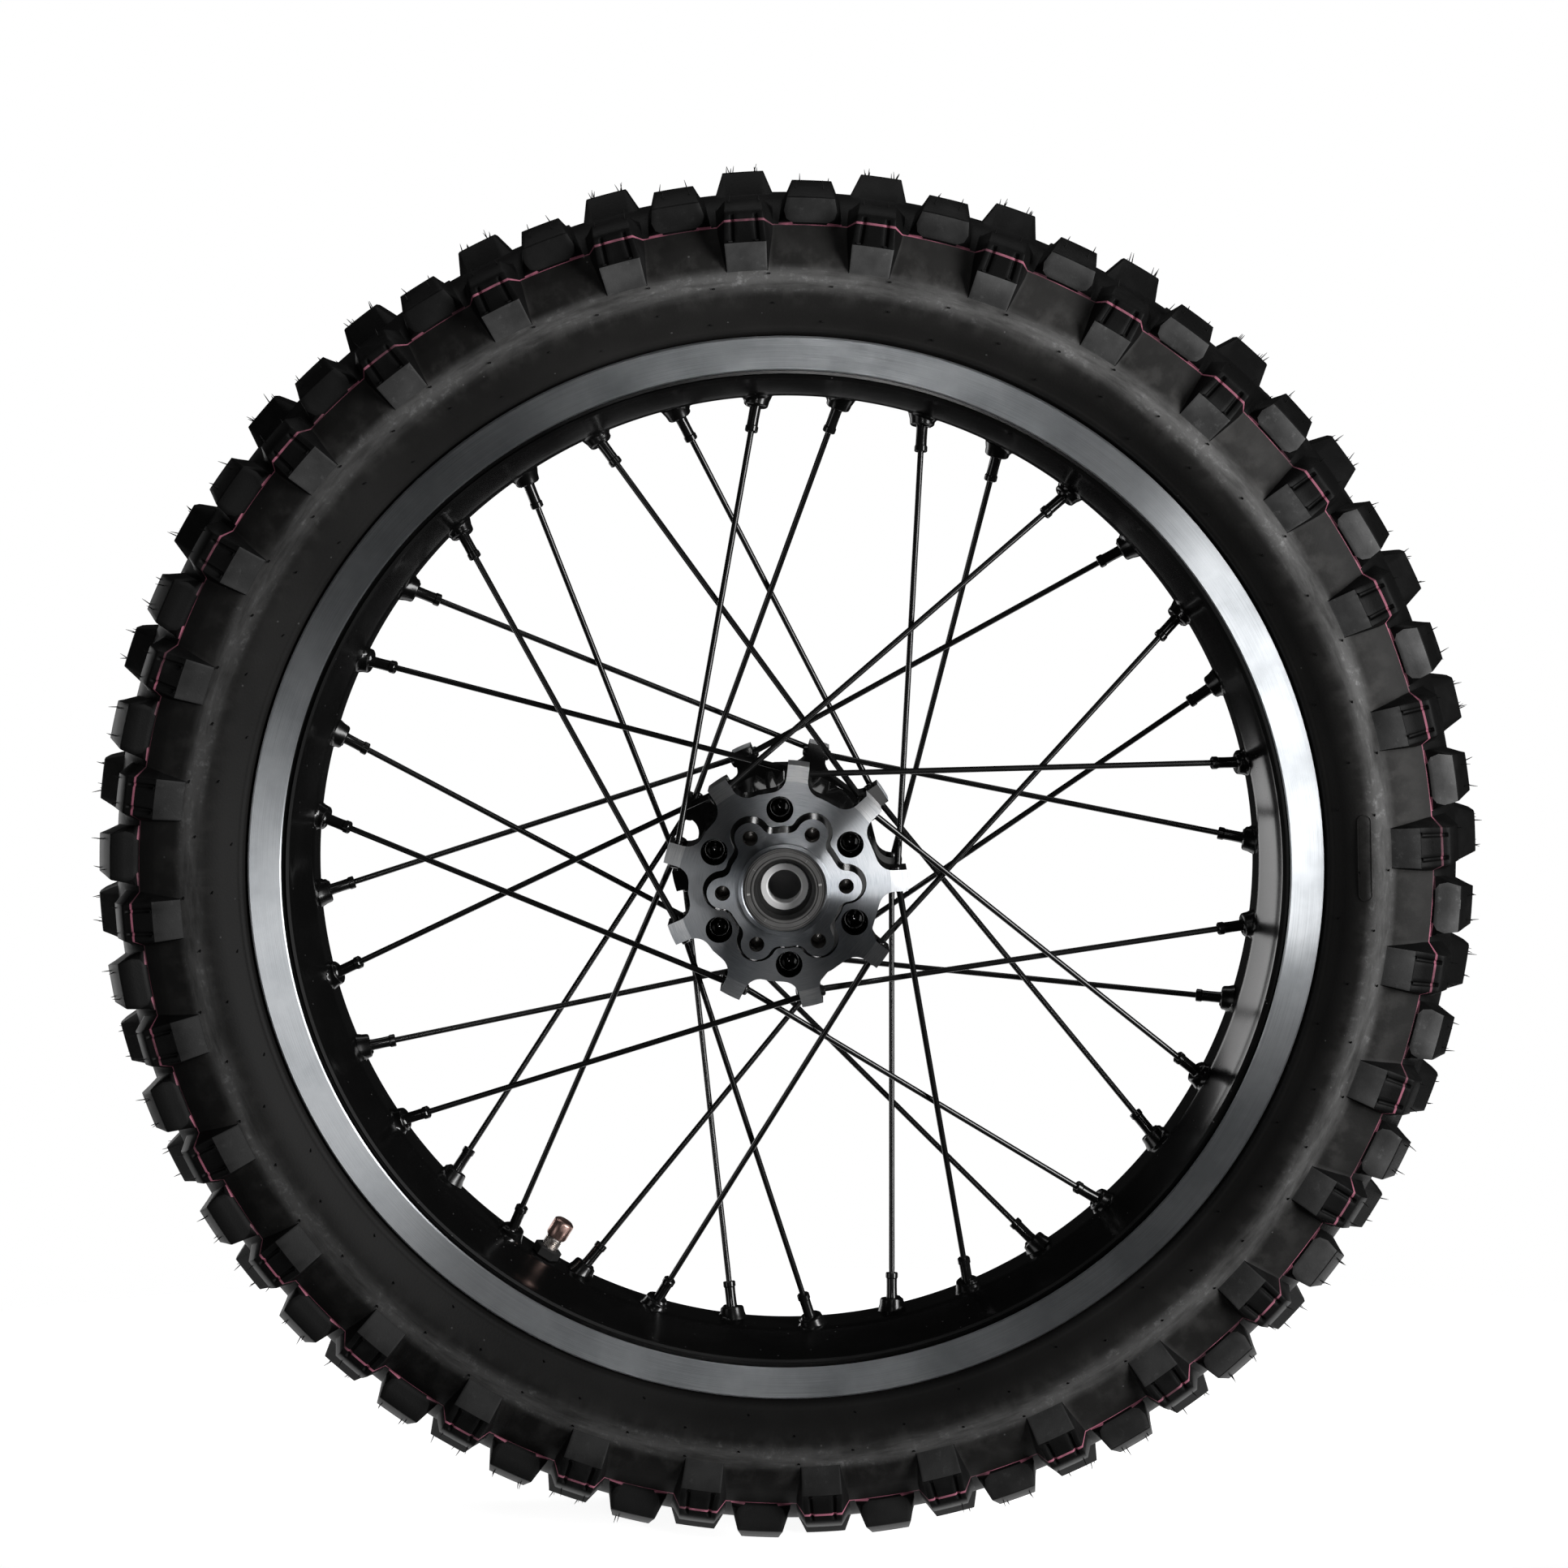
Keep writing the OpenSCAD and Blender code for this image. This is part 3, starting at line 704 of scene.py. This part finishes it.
def tyre_picks(ring_count, columns):
    """Material numbers of the tyre's faces, ring by ring."""
    half_columns = len(row_columns(0))
    per_pitch = 2 * half_columns - 2
    last_outside = 2 * len(GAP) - 3
    picks = []
    for ring in range(ring_count):
        if ring > last_outside:
            picks += [SIDEWALL_FACE] * columns
            continue
        row = min(ring, last_outside - ring)
        for j in range(columns):
            across = j % per_pitch - (half_columns - 2)
            column = across if across >= 0 else -across - 1
            picks.append(face_material(row, column, half_columns))
    return picks


def build_tyre():
    """The casing and its knobs in one piece."""
    rings = tyre_rings()
    columns = len(rings[0])
    verts = [place(r, a, z) for ring in rings for a, r, z in ring]
    faces = grid_faces(len(rings), columns, closed_rows=True)
    picks = tyre_picks(len(rings), columns)
    tyre = new_object("tyre_carcass_and_knobs", verts, faces, TYRE_MATERIALS, picks)
    bevel(tyre, 0.45, 1, 38)
    smooth(tyre.data, 40)
    return finish_piece(tyre, "wheel", "tyre_rubber", "tyre")


def add_hair(parts, radius, angle, height, lean, length):
    """A moulding hair: a thin tapering spike that leans a little."""
    start = place(radius - 0.4, angle, height)
    across = outward(angle + 90)
    direction = place(1, angle, height * 0.004).normalized() + across * lean
    direction.normalize()
    add_turned(parts, start, direction, [(0, 0.3), (length * 0.6, 0.2), (length, 0.08)], steps=5)


def build_hairs():
    """Moulding hairs on the knobs' tops, left off where the tyre stands on the floor."""
    parts = ([], [])
    spots = [(0, TYRE_R, 9), (0, TYRE_R, 3), (0.5, 311.2, 31), (0.5, 308, 36.5), (0, 302.5, 40.5)]
    for k in range(PITCHES):
        for side in (DISC, SPROCKET):
            for phase, radius, height in spots:
                for across in (-1.1, 1.1):
                    angle = KNOB_ANGLE + (k + phase) * PITCH + across + random.uniform(-0.25, 0.25)
                    length = random.uniform(1.8, 4.6)
                    lean = random.uniform(-0.35, 0.35)
                    if math.sin(math.radians(angle)) > -0.97:
                        add_hair(parts, radius, angle, side * height, lean, length)
    hairs = new_object("tyre_moulding_hairs", *parts, [TREAD])
    return finish_piece(hairs, "wheel", "tyre_rubber")


def build_nubs():
    """Small vent nubs on the sidewalls and at the shoulder pads."""
    parts = ([], [])
    for side in (DISC, SPROCKET):
        for k in range(PITCHES):
            middle = KNOB_ANGLE + k * PITCH
            spots = [(270.3, 45.4, middle - 2.2), (257.6, 43.2, middle - 2.6),
                     (265.2, 45.2, middle + 3.1), (250, 37.8, middle + 3.8)]
            spots += [(284.6, 50.2, middle - 1.15), (284.6, 50.2, middle + 1.15)]
            for radius, height, angle in spots:
                start = place(radius, angle, side * (height - 0.6))
                across = outward(angle + 90)
                lean = (Vector((0, -side, 0)) + across * random.uniform(0.5, 1.1)).normalized()
                add_turned(parts, start, lean, [(0, 0.5), (1.4, 0.42), (2.3, 0.2)], steps=6)
    nubs = new_object("tyre_vent_nubs", *parts, [TREAD])
    return finish_piece(nubs, "wheel", "tyre_rubber")


def sidewall_height(radius):
    """Height of the bare sidewall at a radius."""
    for (r0, z0), (r1, z1) in zip(GAP, GAP[1:]):
        if r0 <= radius <= r1:
            return between(radius, r0, r1, z0, z1)
    return 0


def build_panel():
    """A raised rounded outline on each sidewall, the frame of a blank moulded panel."""
    steps = 72
    middle, half_wide, half_long, bead = 260.5, 2.9, 19.5, 0.35
    straight = half_long - half_wide
    verts = []
    for side in (DISC, SPROCKET):
        for j in range(steps):
            turn = 2 * math.pi * j / steps
            along = half_wide * math.sin(turn) + math.copysign(straight, math.sin(turn))
            outward = Vector((math.cos(turn), math.sin(turn)))
            for edge, rise in ((-bead, -0.3), (-bead * 0.5, 0.35), (bead * 0.5, 0.35), (bead, -0.3)):
                radius = middle + half_wide * outward.x + edge * outward.x
                angle = 2.2 + math.degrees((along + edge * outward.y) / middle)
                verts.append(place(radius, angle, side * (sidewall_height(radius) + rise)))
    faces = grid_faces(steps, 4, closed_rows=True)
    faces += [tuple(4 * steps + k for k in face) for face in faces]
    panel = new_object("tyre_panel_outline", verts, faces, [SIDEWALL])
    return finish_piece(panel, "wheel", "tyre_rubber")


# ---------------------------------------------------------------- rim

# Half outline of the rim from the middle of its bed, round the flange, to the well inside
RIM_FACE_IN = RIM_R - 15
WELL_R = RIM_BED_R + 3.2
RIM_OUTLINE = [
    (RIM_BED_R + 1.6, 13.4), (RIM_BED_R + 3.2, 17.4), (RIM_BED_R + 4.7, 21.4),
    (RIM_BED_R + 6, 25.2), (RIM_BED_R + 7, 28.6), (RIM_BED_R + 7.5, 31.2),
    (RIM_BED_R + 7.9, 32.4), (RIM_BED_R + 9.3, 32.7), (RIM_BED_R + 9.7, 32.1),
    (RIM_BED_R + 9.9, 30.2), (RIM_BED_R + 11.1, 30.2), (RIM_BED_R + 11.3, 33.4),
    (RIM_FACE_IN + 0.5, RIM_HALF), (RIM_R - 0.8, RIM_HALF), (RIM_R, RIM_HALF - 0.8),
    (RIM_R, RIM_HALF - 4.4), (RIM_R - 1, RIM_HALF - 6), (RIM_R - 2.6, 27.3),
    (RIM_R - 14, 27.3), (RIM_R - 14, 19), (RIM_R - 15.7, 17.5), (RIM_BED_R + 4.5, 13.5),
    (WELL_R, 10),
]
BED_HALF = 12
SEAT_REACH = 12


def nipple_axis(side, kind, index):
    """Where a spoke leaves the hub, where it meets the rim, and its unit direction."""
    finger = FIRST_FINGER[side] + index * 360 / FINGERS
    turn = side * LACING_ANGLE * (1 if kind == "inner" else -1)
    start = place(SPOKE_HOLE_R, finger, side * (FLANGE_FACE - SPOKE_DEPTH[kind]))
    end = place(RIM_BED_R, finger + turn, side * NIPPLE_OFFSET)
    return start, end, (end - start).normalized()


def all_nipples():
    """Start, end and direction of every spoke."""
    for side in (DISC, SPROCKET):
        for kind in SPOKE_KINDS:
            for index in range(FINGERS):
                yield nipple_axis(side, kind, index)


def boss_height(distance):
    """Height of the raised seat round a nipple at a distance from its middle."""
    share = between(distance, 3.6, 6.9, 1, 0)
    return BOSS_RISE * share * share * (3 - 2 * share)


def bed_rows():
    """(radius, height) across the bed, finely spaced where the nipple seats rise."""
    rows = []
    for i in range(33):
        height = BED_HALF - 2 * BED_HALF * i / 32
        rows.append((RIM_BED_R + max(0, abs(height) - 8) ** 2 * 0.06, height))
    return rows


def seat_shift(points):
    """How far the raised seats of the nipples move the points of the bed, in metres."""
    shift = np.zeros_like(points)
    for _, end, direction in all_nipples():
        axis = np.array(direction)
        away = points - np.array(end)
        near = np.einsum("ij,ij->i", away, away) < (SEAT_REACH * MM) ** 2
        local = away[near]
        off_axis = local - np.outer(local @ axis, axis)
        distance = np.sqrt((off_axis ** 2).sum(axis=1)) / MM
        height = np.array([boss_height(d) for d in distance]) * MM
        shift[near] -= height[:, None] * axis
    return shift


def rim_picks(outline, steps):
    """Material numbers of the rim's faces: 1 on the machined side faces, else 0."""
    picks = []
    for i, (r, z) in enumerate(outline):
        r1, z1 = outline[(i + 1) % len(outline)]
        machined = min(abs(z), abs(z1)) > RIM_HALF - 1 and min(r, r1) > RIM_FACE_IN - 0.2
        picks += [1 if machined else 0] * steps
    return picks


def build_rim():
    """The rim, with a seat raised round each nipple."""
    steps = 1440
    outline = [(WELL_R, 0)] + RIM_OUTLINE[::-1] + bed_rows() + [(r, -z) for r, z in RIM_OUTLINE]
    verts = np.array([[place(r, 360 * j / steps, z) for j in range(steps)] for r, z in outline])
    bed = np.array([RIM_BED_R - 1 < r < RIM_BED_R + 1.5 and abs(z) <= BED_HALF for r, z in outline])
    flat = verts[bed].reshape(-1, 3)
    verts[bed] = (flat + seat_shift(flat)).reshape(verts[bed].shape)
    faces = grid_faces(len(outline), steps, closed_rows=True)
    picks = rim_picks(outline, steps)
    rim = new_object("rim_shell", verts.reshape(-1, 3), faces, [RIM_BLACK, RIM_MACHINED], picks, 28)
    return finish_piece(rim, "wheel", "rim_black", "rim")


SEAT_OUTLINE = [(-1.5, 6.7), (0, 6.3), (1.6, 5.8), (3.4, 5.6), (4.1, 5.45), (4.6, 4.9), (4.75, 4.1),
                (4.5, 2.9)]


def build_nipple_seats():
    """The flared lips of the seats that the nipples pull against."""
    parts = ([], [])
    for _, end, direction in all_nipples():
        add_turned(parts, end, -direction, SEAT_OUTLINE, steps=32)
    seats = new_object("rim_nipple_seats", *parts, [SEAT_BLACK])
    return finish_piece(seats, "wheel", "rim_black")


# ---------------------------------------------------------------- spokes and nipples

SPOKE_SEAT = 4.2
NIPPLE_OUTLINE = [
    (0, 1.6), (0, 2.6), (0.35, 2.95), (2.4, 2.95), (3, 2.55), (6, 2.5), (10.5, 2.55),
    (12.2, 2.8), (14, 2.8), (14, 1.6),
]


def build_spokes(side, kind):
    """One of the four sets of nine spokes, each with its head, butt and shank."""
    parts = ([], [])
    for index in range(FINGERS):
        start, end, direction = nipple_axis(side, kind, index)
        length = (end - start).length / MM
        outline = [
            (-SPOKE_SEAT - 2.4, 1.7), (-SPOKE_SEAT - 2.2, 2.3), (-SPOKE_SEAT - 1.7, 2.6),
            (-SPOKE_SEAT - 0.3, 2.6), (-SPOKE_SEAT, 2.4), (-SPOKE_SEAT, SPOKE_R + 0.1),
            (12, SPOKE_R + 0.1), (22, SPOKE_R - 0.03), (length - 40, SPOKE_R - 0.03),
            (length - 30, SPOKE_R), (length + 1, SPOKE_R),
        ]
        add_turned(parts, start, direction, outline, steps=20)
    name = f"spokes_{SIDE_NAMES[side]}_{kind}"
    spokes = new_object(name + "_set", *parts, [SPOKE_BLACK])
    return finish_piece(spokes, "wheel", "spoke_black", name)


def build_nipples(side):
    """The 18 nipples of one side's spokes."""
    parts = ([], [])
    for kind in SPOKE_KINDS:
        for index in range(FINGERS):
            _, end, direction = nipple_axis(side, kind, index)
            low = end - direction * (BOSS_RISE + NIPPLE_LEN) * MM
            add_turned(parts, low, direction, NIPPLE_OUTLINE, steps=24)
    name = f"nipples_{SIDE_NAMES[side]}"
    nipples = new_object(name + "_set", *parts, [NIPPLE_BLACK])
    return finish_piece(nipples, "wheel", "nipple_black", name)


# ---------------------------------------------------------------- hub

# Materials of the hub's faces, in the order of its slots
HUB_MATERIALS = (HUB_BLACK, HUB_MACHINED, BARE_METAL)
BLACK_FACE, MACHINED_FACE, BARE_FACE = range(3)
HOLES = 6
FACE_SLACK = 0.4


def in_hole(centre, circle_r, first_angle, hole_r):
    """Whether a face lies in one of the holes of a circle round the axle."""
    for k in range(HOLES):
        hole = place(circle_r, first_angle + k * 360 / HOLES, 0)
        if math.hypot(centre.x - hole.x, centre.z - hole.z) / MM < hole_r + 0.05:
            return True
    return False


def hub_face_material(centre, normal):
    """Material number of a face of the hub."""
    if in_hole(centre, BOLT_CIRCLE_R, BOLT_ANGLE, BOLT_HOLE_R):
        return BARE_FACE
    if in_hole(centre, POCKET_CIRCLE_R, BOLT_ANGLE + 30, POCKET_R):
        return BLACK_FACE
    height = abs(centre.y) / MM
    radius = math.hypot(centre.x, centre.z) / MM
    on_boss = height > BOSS_FACE - FACE_SLACK
    on_flange = FLANGE_FACE - FACE_SLACK < height < FLANGE_FACE + 0.1
    turned = radius > FINGER_TIP_R - 0.3 or (on_boss and radius < SEAL_R + 3)
    faced = abs(normal.y) > 0.5 and (on_boss or on_flange)
    return MACHINED_FACE if turned or faced else BLACK_FACE


def build_hub():
    """A copy of the CAD hub with its edges rounded."""
    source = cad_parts["hub_body"]
    hub = bpy.data.objects.new("hub_machined_body", source.data.copy())
    bpy.context.scene.collection.objects.link(hub)
    work = bmesh.new()
    work.from_mesh(hub.data)
    bmesh.ops.remove_doubles(work, verts=work.verts, dist=0.00001)
    bmesh.ops.dissolve_limit(work, angle_limit=math.radians(1.5), verts=work.verts, edges=work.edges)
    work.to_mesh(hub.data)
    work.free()
    smooth(hub.data, 30)
    bevel(hub, 0.3, 2, 40, flat_faces=True)
    mesh = hub.data
    mesh.materials.clear()
    for material in HUB_MATERIALS:
        mesh.materials.append(material)
    for polygon in mesh.polygons:
        polygon.material_index = hub_face_material(polygon.center, polygon.normal)
    return finish_piece(hub, "wheel", "hub_metal", "hub_body")


# ---------------------------------------------------------------- seals and bearings

def build_seal(side):
    """The moulded rubber of one oil seal, and small plain marks on its face."""
    face = SEAL_FACE
    outline = [
        (SEAL_R, face - 2.95), (SEAL_R, face - 0.3), (SEAL_R - 0.3, face), (18.3, face),
        (18.2, face - 0.7), (17.7, face - 0.7), (17.6, face - 0.1), (17.2, face - 0.1),
        (17.1, face - 0.5), (16.9, face - 0.2), (15.2, face - 0.2), (15.1, face - 0.8),
        (14.8, face - 0.8), (14.7, face - 0.1), (14.1, face - 0.1),
        (13.7, face - 0.5), (13.0, face - 1.6), (12.3, face - 3.1), (12.05, face - 3.6),
        (12.5, face - 4.8), (13.1, face - 4), (14.25, face - 3.4), (14.35, face - 2.95),
    ]
    outline = [(r, side * z) for r, z in outline]
    name = f"seal_rubber_{SIDE_NAMES[side]}"
    seal = lathe(name + "_moulded", outline, [SEAL_GREY, SEAL_DARK],
                 choose=lambda radius: 0 if radius > 13.7 else 1, steps=192)
    finish_piece(seal, "wheel", "seal_rubber", name)
    parts = ([], [])
    for angle, width in ((8, 0.9), (187, 0.9), (52, 0.12), (146, 0.12), (238, 0.12), (310, 0.12)):
        add_arc_block(parts, 15.3, 16.8, angle, width, side, face - 0.25, face - 0.1)
    marks = new_object(f"seal_marks_{SIDE_NAMES[side]}", *parts, [SEAL_MARK])
    finish_piece(marks, "wheel", "seal_rubber")


def add_arc_block(parts, inner, outer, angle, width, side, low, high):
    """A small raised block on the seal's face; width is in millimetres."""
    verts, faces = parts
    first = len(verts)
    half = math.degrees(width / (inner + outer))
    for z in (low, high):
        for r, a in ((inner, -half), (outer, -half), (outer, half), (inner, half)):
            verts.append(place(r, angle + a, side * z))
    for quad in ((0, 1, 2, 3), (4, 5, 6, 7), (0, 1, 5, 4), (1, 2, 6, 5), (2, 3, 7, 6), (3, 0, 4, 7)):
        faces.append(tuple(first + k for k in quad))


def paint_cad(node, material):
    """Gives a CAD node that stays in view its procedural material."""
    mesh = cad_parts[node].data
    mesh.materials.clear()
    mesh.materials.append(material)


def paint_bearings():
    """Materials of the CAD nodes inside the hub, rim and valve."""
    paint_cad("bearing_spacer_tube", SPACER_METAL)
    for side in SIDE_NAMES.values():
        # The races get the near-white painted reflection.
        paint_cad("inner_race_" + side, RACE_PAINTED_SHINE)
        paint_cad("outer_race_" + side, RACE_PAINTED_SHINE)
        paint_cad("balls_" + side, RACE_PAINTED_SHINE)
        paint_cad("ball_cage_" + side, CAGE_STEEL)
        paint_cad("bearing_shields_" + side, SEAL_DARK)
        paint_cad("seal_case_" + side, CAGE_STEEL)
        paint_cad("garter_spring_" + side, CAGE_STEEL)
    paint_cad("rim_strip", STRIP_RUBBER)
    paint_cad("inner_tube", TUBE_RUBBER)
    paint_cad("valve_core", VALVE_BRASS)


# ---------------------------------------------------------------- valve

# Distances from the axle along the valve, in millimetres
VALVE_TIP = 200
THREAD_END = 222
THREAD_PITCH = 0.8


def valve_parts(outline, steps):
    """A solid turned about the valve's own line, from (distance from the axle, radius)."""
    parts = ([], [])
    add_turned(parts, Vector((0, 0, 0)), outward(VALVE_ANGLE), outline, steps)
    return parts


def stem_outline():
    """The valve's stem, from its tip over the rings of its thread to its foot."""
    outline = [(VALVE_TIP, 2.7), (VALVE_TIP, 3.5), (VALVE_TIP + 0.4, 3.8), (VALVE_TIP + 6.6, 3.8),
               (VALVE_TIP + 7, 4)]
    position = VALVE_TIP + 8
    while position < THREAD_END:
        outline += [(position, 4), (position + 0.25, 3.7), (position + 0.5, 4)]
        position += THREAD_PITCH
    return outline + [(224, 4), (224.7, 7.5), (226.7, 7.5)]


def build_valve():
    """The valve's stem, hexagonal nut and cap."""
    stem = new_object("valve_stem_threaded", *valve_parts(stem_outline(), 24), [VALVE_METAL])
    finish_piece(stem, "wheel", "valve_metal", "valve_stem")
    nut_outline = [(211.9, 5.4), (211.9, 6), (212.5, 6.9), (216.3, 6.9), (216.85, 6.2)]
    nut = new_object("valve_nut_hex", *valve_parts(nut_outline, 6), [NUT_BLACK])
    finish_piece(nut, "wheel", "nut_black", "valve_nut")
    cap = new_object("valve_cap_knurled", *knurled_cap(), [CAP_METAL])
    finish_piece(cap, "wheel", "cap_metal", "valve_cap")


def knurled_cap():
    """A cap with fine ridges along its skirt and a domed end."""
    verts, faces = [], []
    steps = 48
    axis = outward(VALVE_ANGLE)
    side, other = axes_along(axis)
    outline = [(197.5, 2.2), (197.55, 3.8), (198.2, 4.7), (198.6, 5), (205.6, 5), (206.4, 4.6),
               (206.5, 3.9)]
    for row, (along, radius) in enumerate(outline):
        for j in range(steps):
            ridge = -0.22 if j % 2 and 2 < row < 5 else 0
            turn = 2 * math.pi * j / steps
            spoke = side * math.cos(turn) + other * math.sin(turn)
            verts.append((axis * along + spoke * (radius + ridge)) * MM)
    faces += grid_faces(len(outline), steps)
    faces.append(tuple(range(steps)))
    faces.append(tuple(reversed(range((len(outline) - 1) * steps, len(outline) * steps))))
    return verts, faces


# ---------------------------------------------------------------- studio

def build_studio():
    """A pale floor under the wheel, with a soft edge that fades into the white air."""
    floor_z = cad_box[0][2] - 0.2 * MM
    half_wide, half_deep, middle = 0.62, 0.24, 0.19
    rings = [(1, 0), (1.06, -0.01)]
    steps = 96
    verts = []
    for share, drop in rings:
        for j in range(steps):
            turn = 2 * math.pi * j / steps
            side = half_wide * share * math.cos(turn)
            back = middle + half_deep * share * math.sin(turn)
            verts.append((side, back, floor_z + drop))
    faces = grid_faces(len(rings), steps) + [tuple(range(steps))]
    floor = new_object("studio_floor", verts, faces, [studio_paint("studio_white", 0.88)], None, 180)


def area_light(name, position, target, size, power):
    """A rectangular white lamp that faces its target."""
    data = bpy.data.lights.new(name, "AREA")
    data.shape = "RECTANGLE"
    data.size, data.size_y = size
    data.energy = power
    light = bpy.data.objects.new(name, data)
    light.location = position
    direction = Vector(target) - Vector(position)
    light.rotation_euler = direction.to_track_quat("-Z", "Y").to_euler()
    bpy.context.scene.collection.objects.link(light)


def build_lights():
    """A strong key on the right, weak fills in front, one lamp behind and one above."""
    area_light("key_right", (2.0, -1.45, 0.3), (0, 0, 0), (0.8, 1.9), 66)
    area_light("fill_left", (-2.1, -1.5, -0.22), (0, 0, -0.05), (0.9, 1.3), 4.5)
    area_light("top_front", (0.15, -1.9, 1.45), (0, 0, 0.05), (0.4, 0.4), 0.7)
    area_light("front_low", (0.25, -1.9, -0.2), (0, 0, 0), (0.45, 0.3), 0.4)
    area_light("flash", (0.08, -1.7, 0.3), (0, 0, 0), (0.12, 0.12), 1.1)
    area_light("behind_left", (-1.5, 1.2, -0.15), (0, 0, 0.05), (1.0, 1.0), 8)
    area_light("overhead", (0, 0.35, 1.9), (0, 0.3, -0.3), (2.4, 0.8), 9)


def build_air():
    """A background that is white to the camera and nearly dark to the object."""
    world = bpy.data.worlds.new("studio_air")
    world.use_nodes = True
    tree = world.node_tree
    background = tree.nodes["Background"]
    background.inputs[0].default_value = (1, 1, 1, 1)
    seen = tree.nodes.new("ShaderNodeLightPath").outputs["Is Camera Ray"]
    level = tree.nodes.new("ShaderNodeMapRange")
    level.inputs["To Min"].default_value = 0.012
    level.inputs["To Max"].default_value = 1.0
    tree.links.new(seen, level.inputs["Value"])
    tree.links.new(level.outputs["Result"], background.inputs[1])
    bpy.context.scene.world = world
    bpy.context.scene.view_settings.view_transform = "Standard"


def build_camera():
    """The photograph's viewpoint: nearly straight on, a little above the axle."""
    distance = 1.423
    azimuth = math.radians(0.6)
    elevation = math.radians(7.4)
    roll = math.radians(-0.38)
    aim = Vector((-0.5, 0, 39.15)) * MM
    away = Vector((math.sin(azimuth) * math.cos(elevation),
                   -math.cos(azimuth) * math.cos(elevation), math.sin(elevation)))
    forward = -away
    right = forward.cross(Vector((0, 0, 1))).normalized()
    up = right.cross(forward)
    tilted_right = right * math.cos(roll) + up * math.sin(roll)
    tilted_up = up * math.cos(roll) - right * math.sin(roll)
    data = bpy.data.cameras.new("camera")
    data.sensor_width = 36
    data.lens = 70.8
    camera = bpy.data.objects.new("camera", data)
    turn = Matrix((tilted_right, tilted_up, away)).transposed()
    camera.matrix_world = Matrix.Translation(aim + away * distance) @ turn.to_4x4()
    bpy.context.scene.collection.objects.link(camera)
    bpy.context.scene.camera = camera


build_camera()
build_tyre()
build_hairs()
build_nubs()
build_panel()
build_rim()
build_nipple_seats()
for hub_side in (DISC, SPROCKET):
    for spoke_kind in SPOKE_KINDS:
        build_spokes(hub_side, spoke_kind)
    build_nipples(hub_side)
    build_seal(hub_side)
build_hub()
paint_bearings()
build_valve()
build_studio()
build_lights()
build_air()
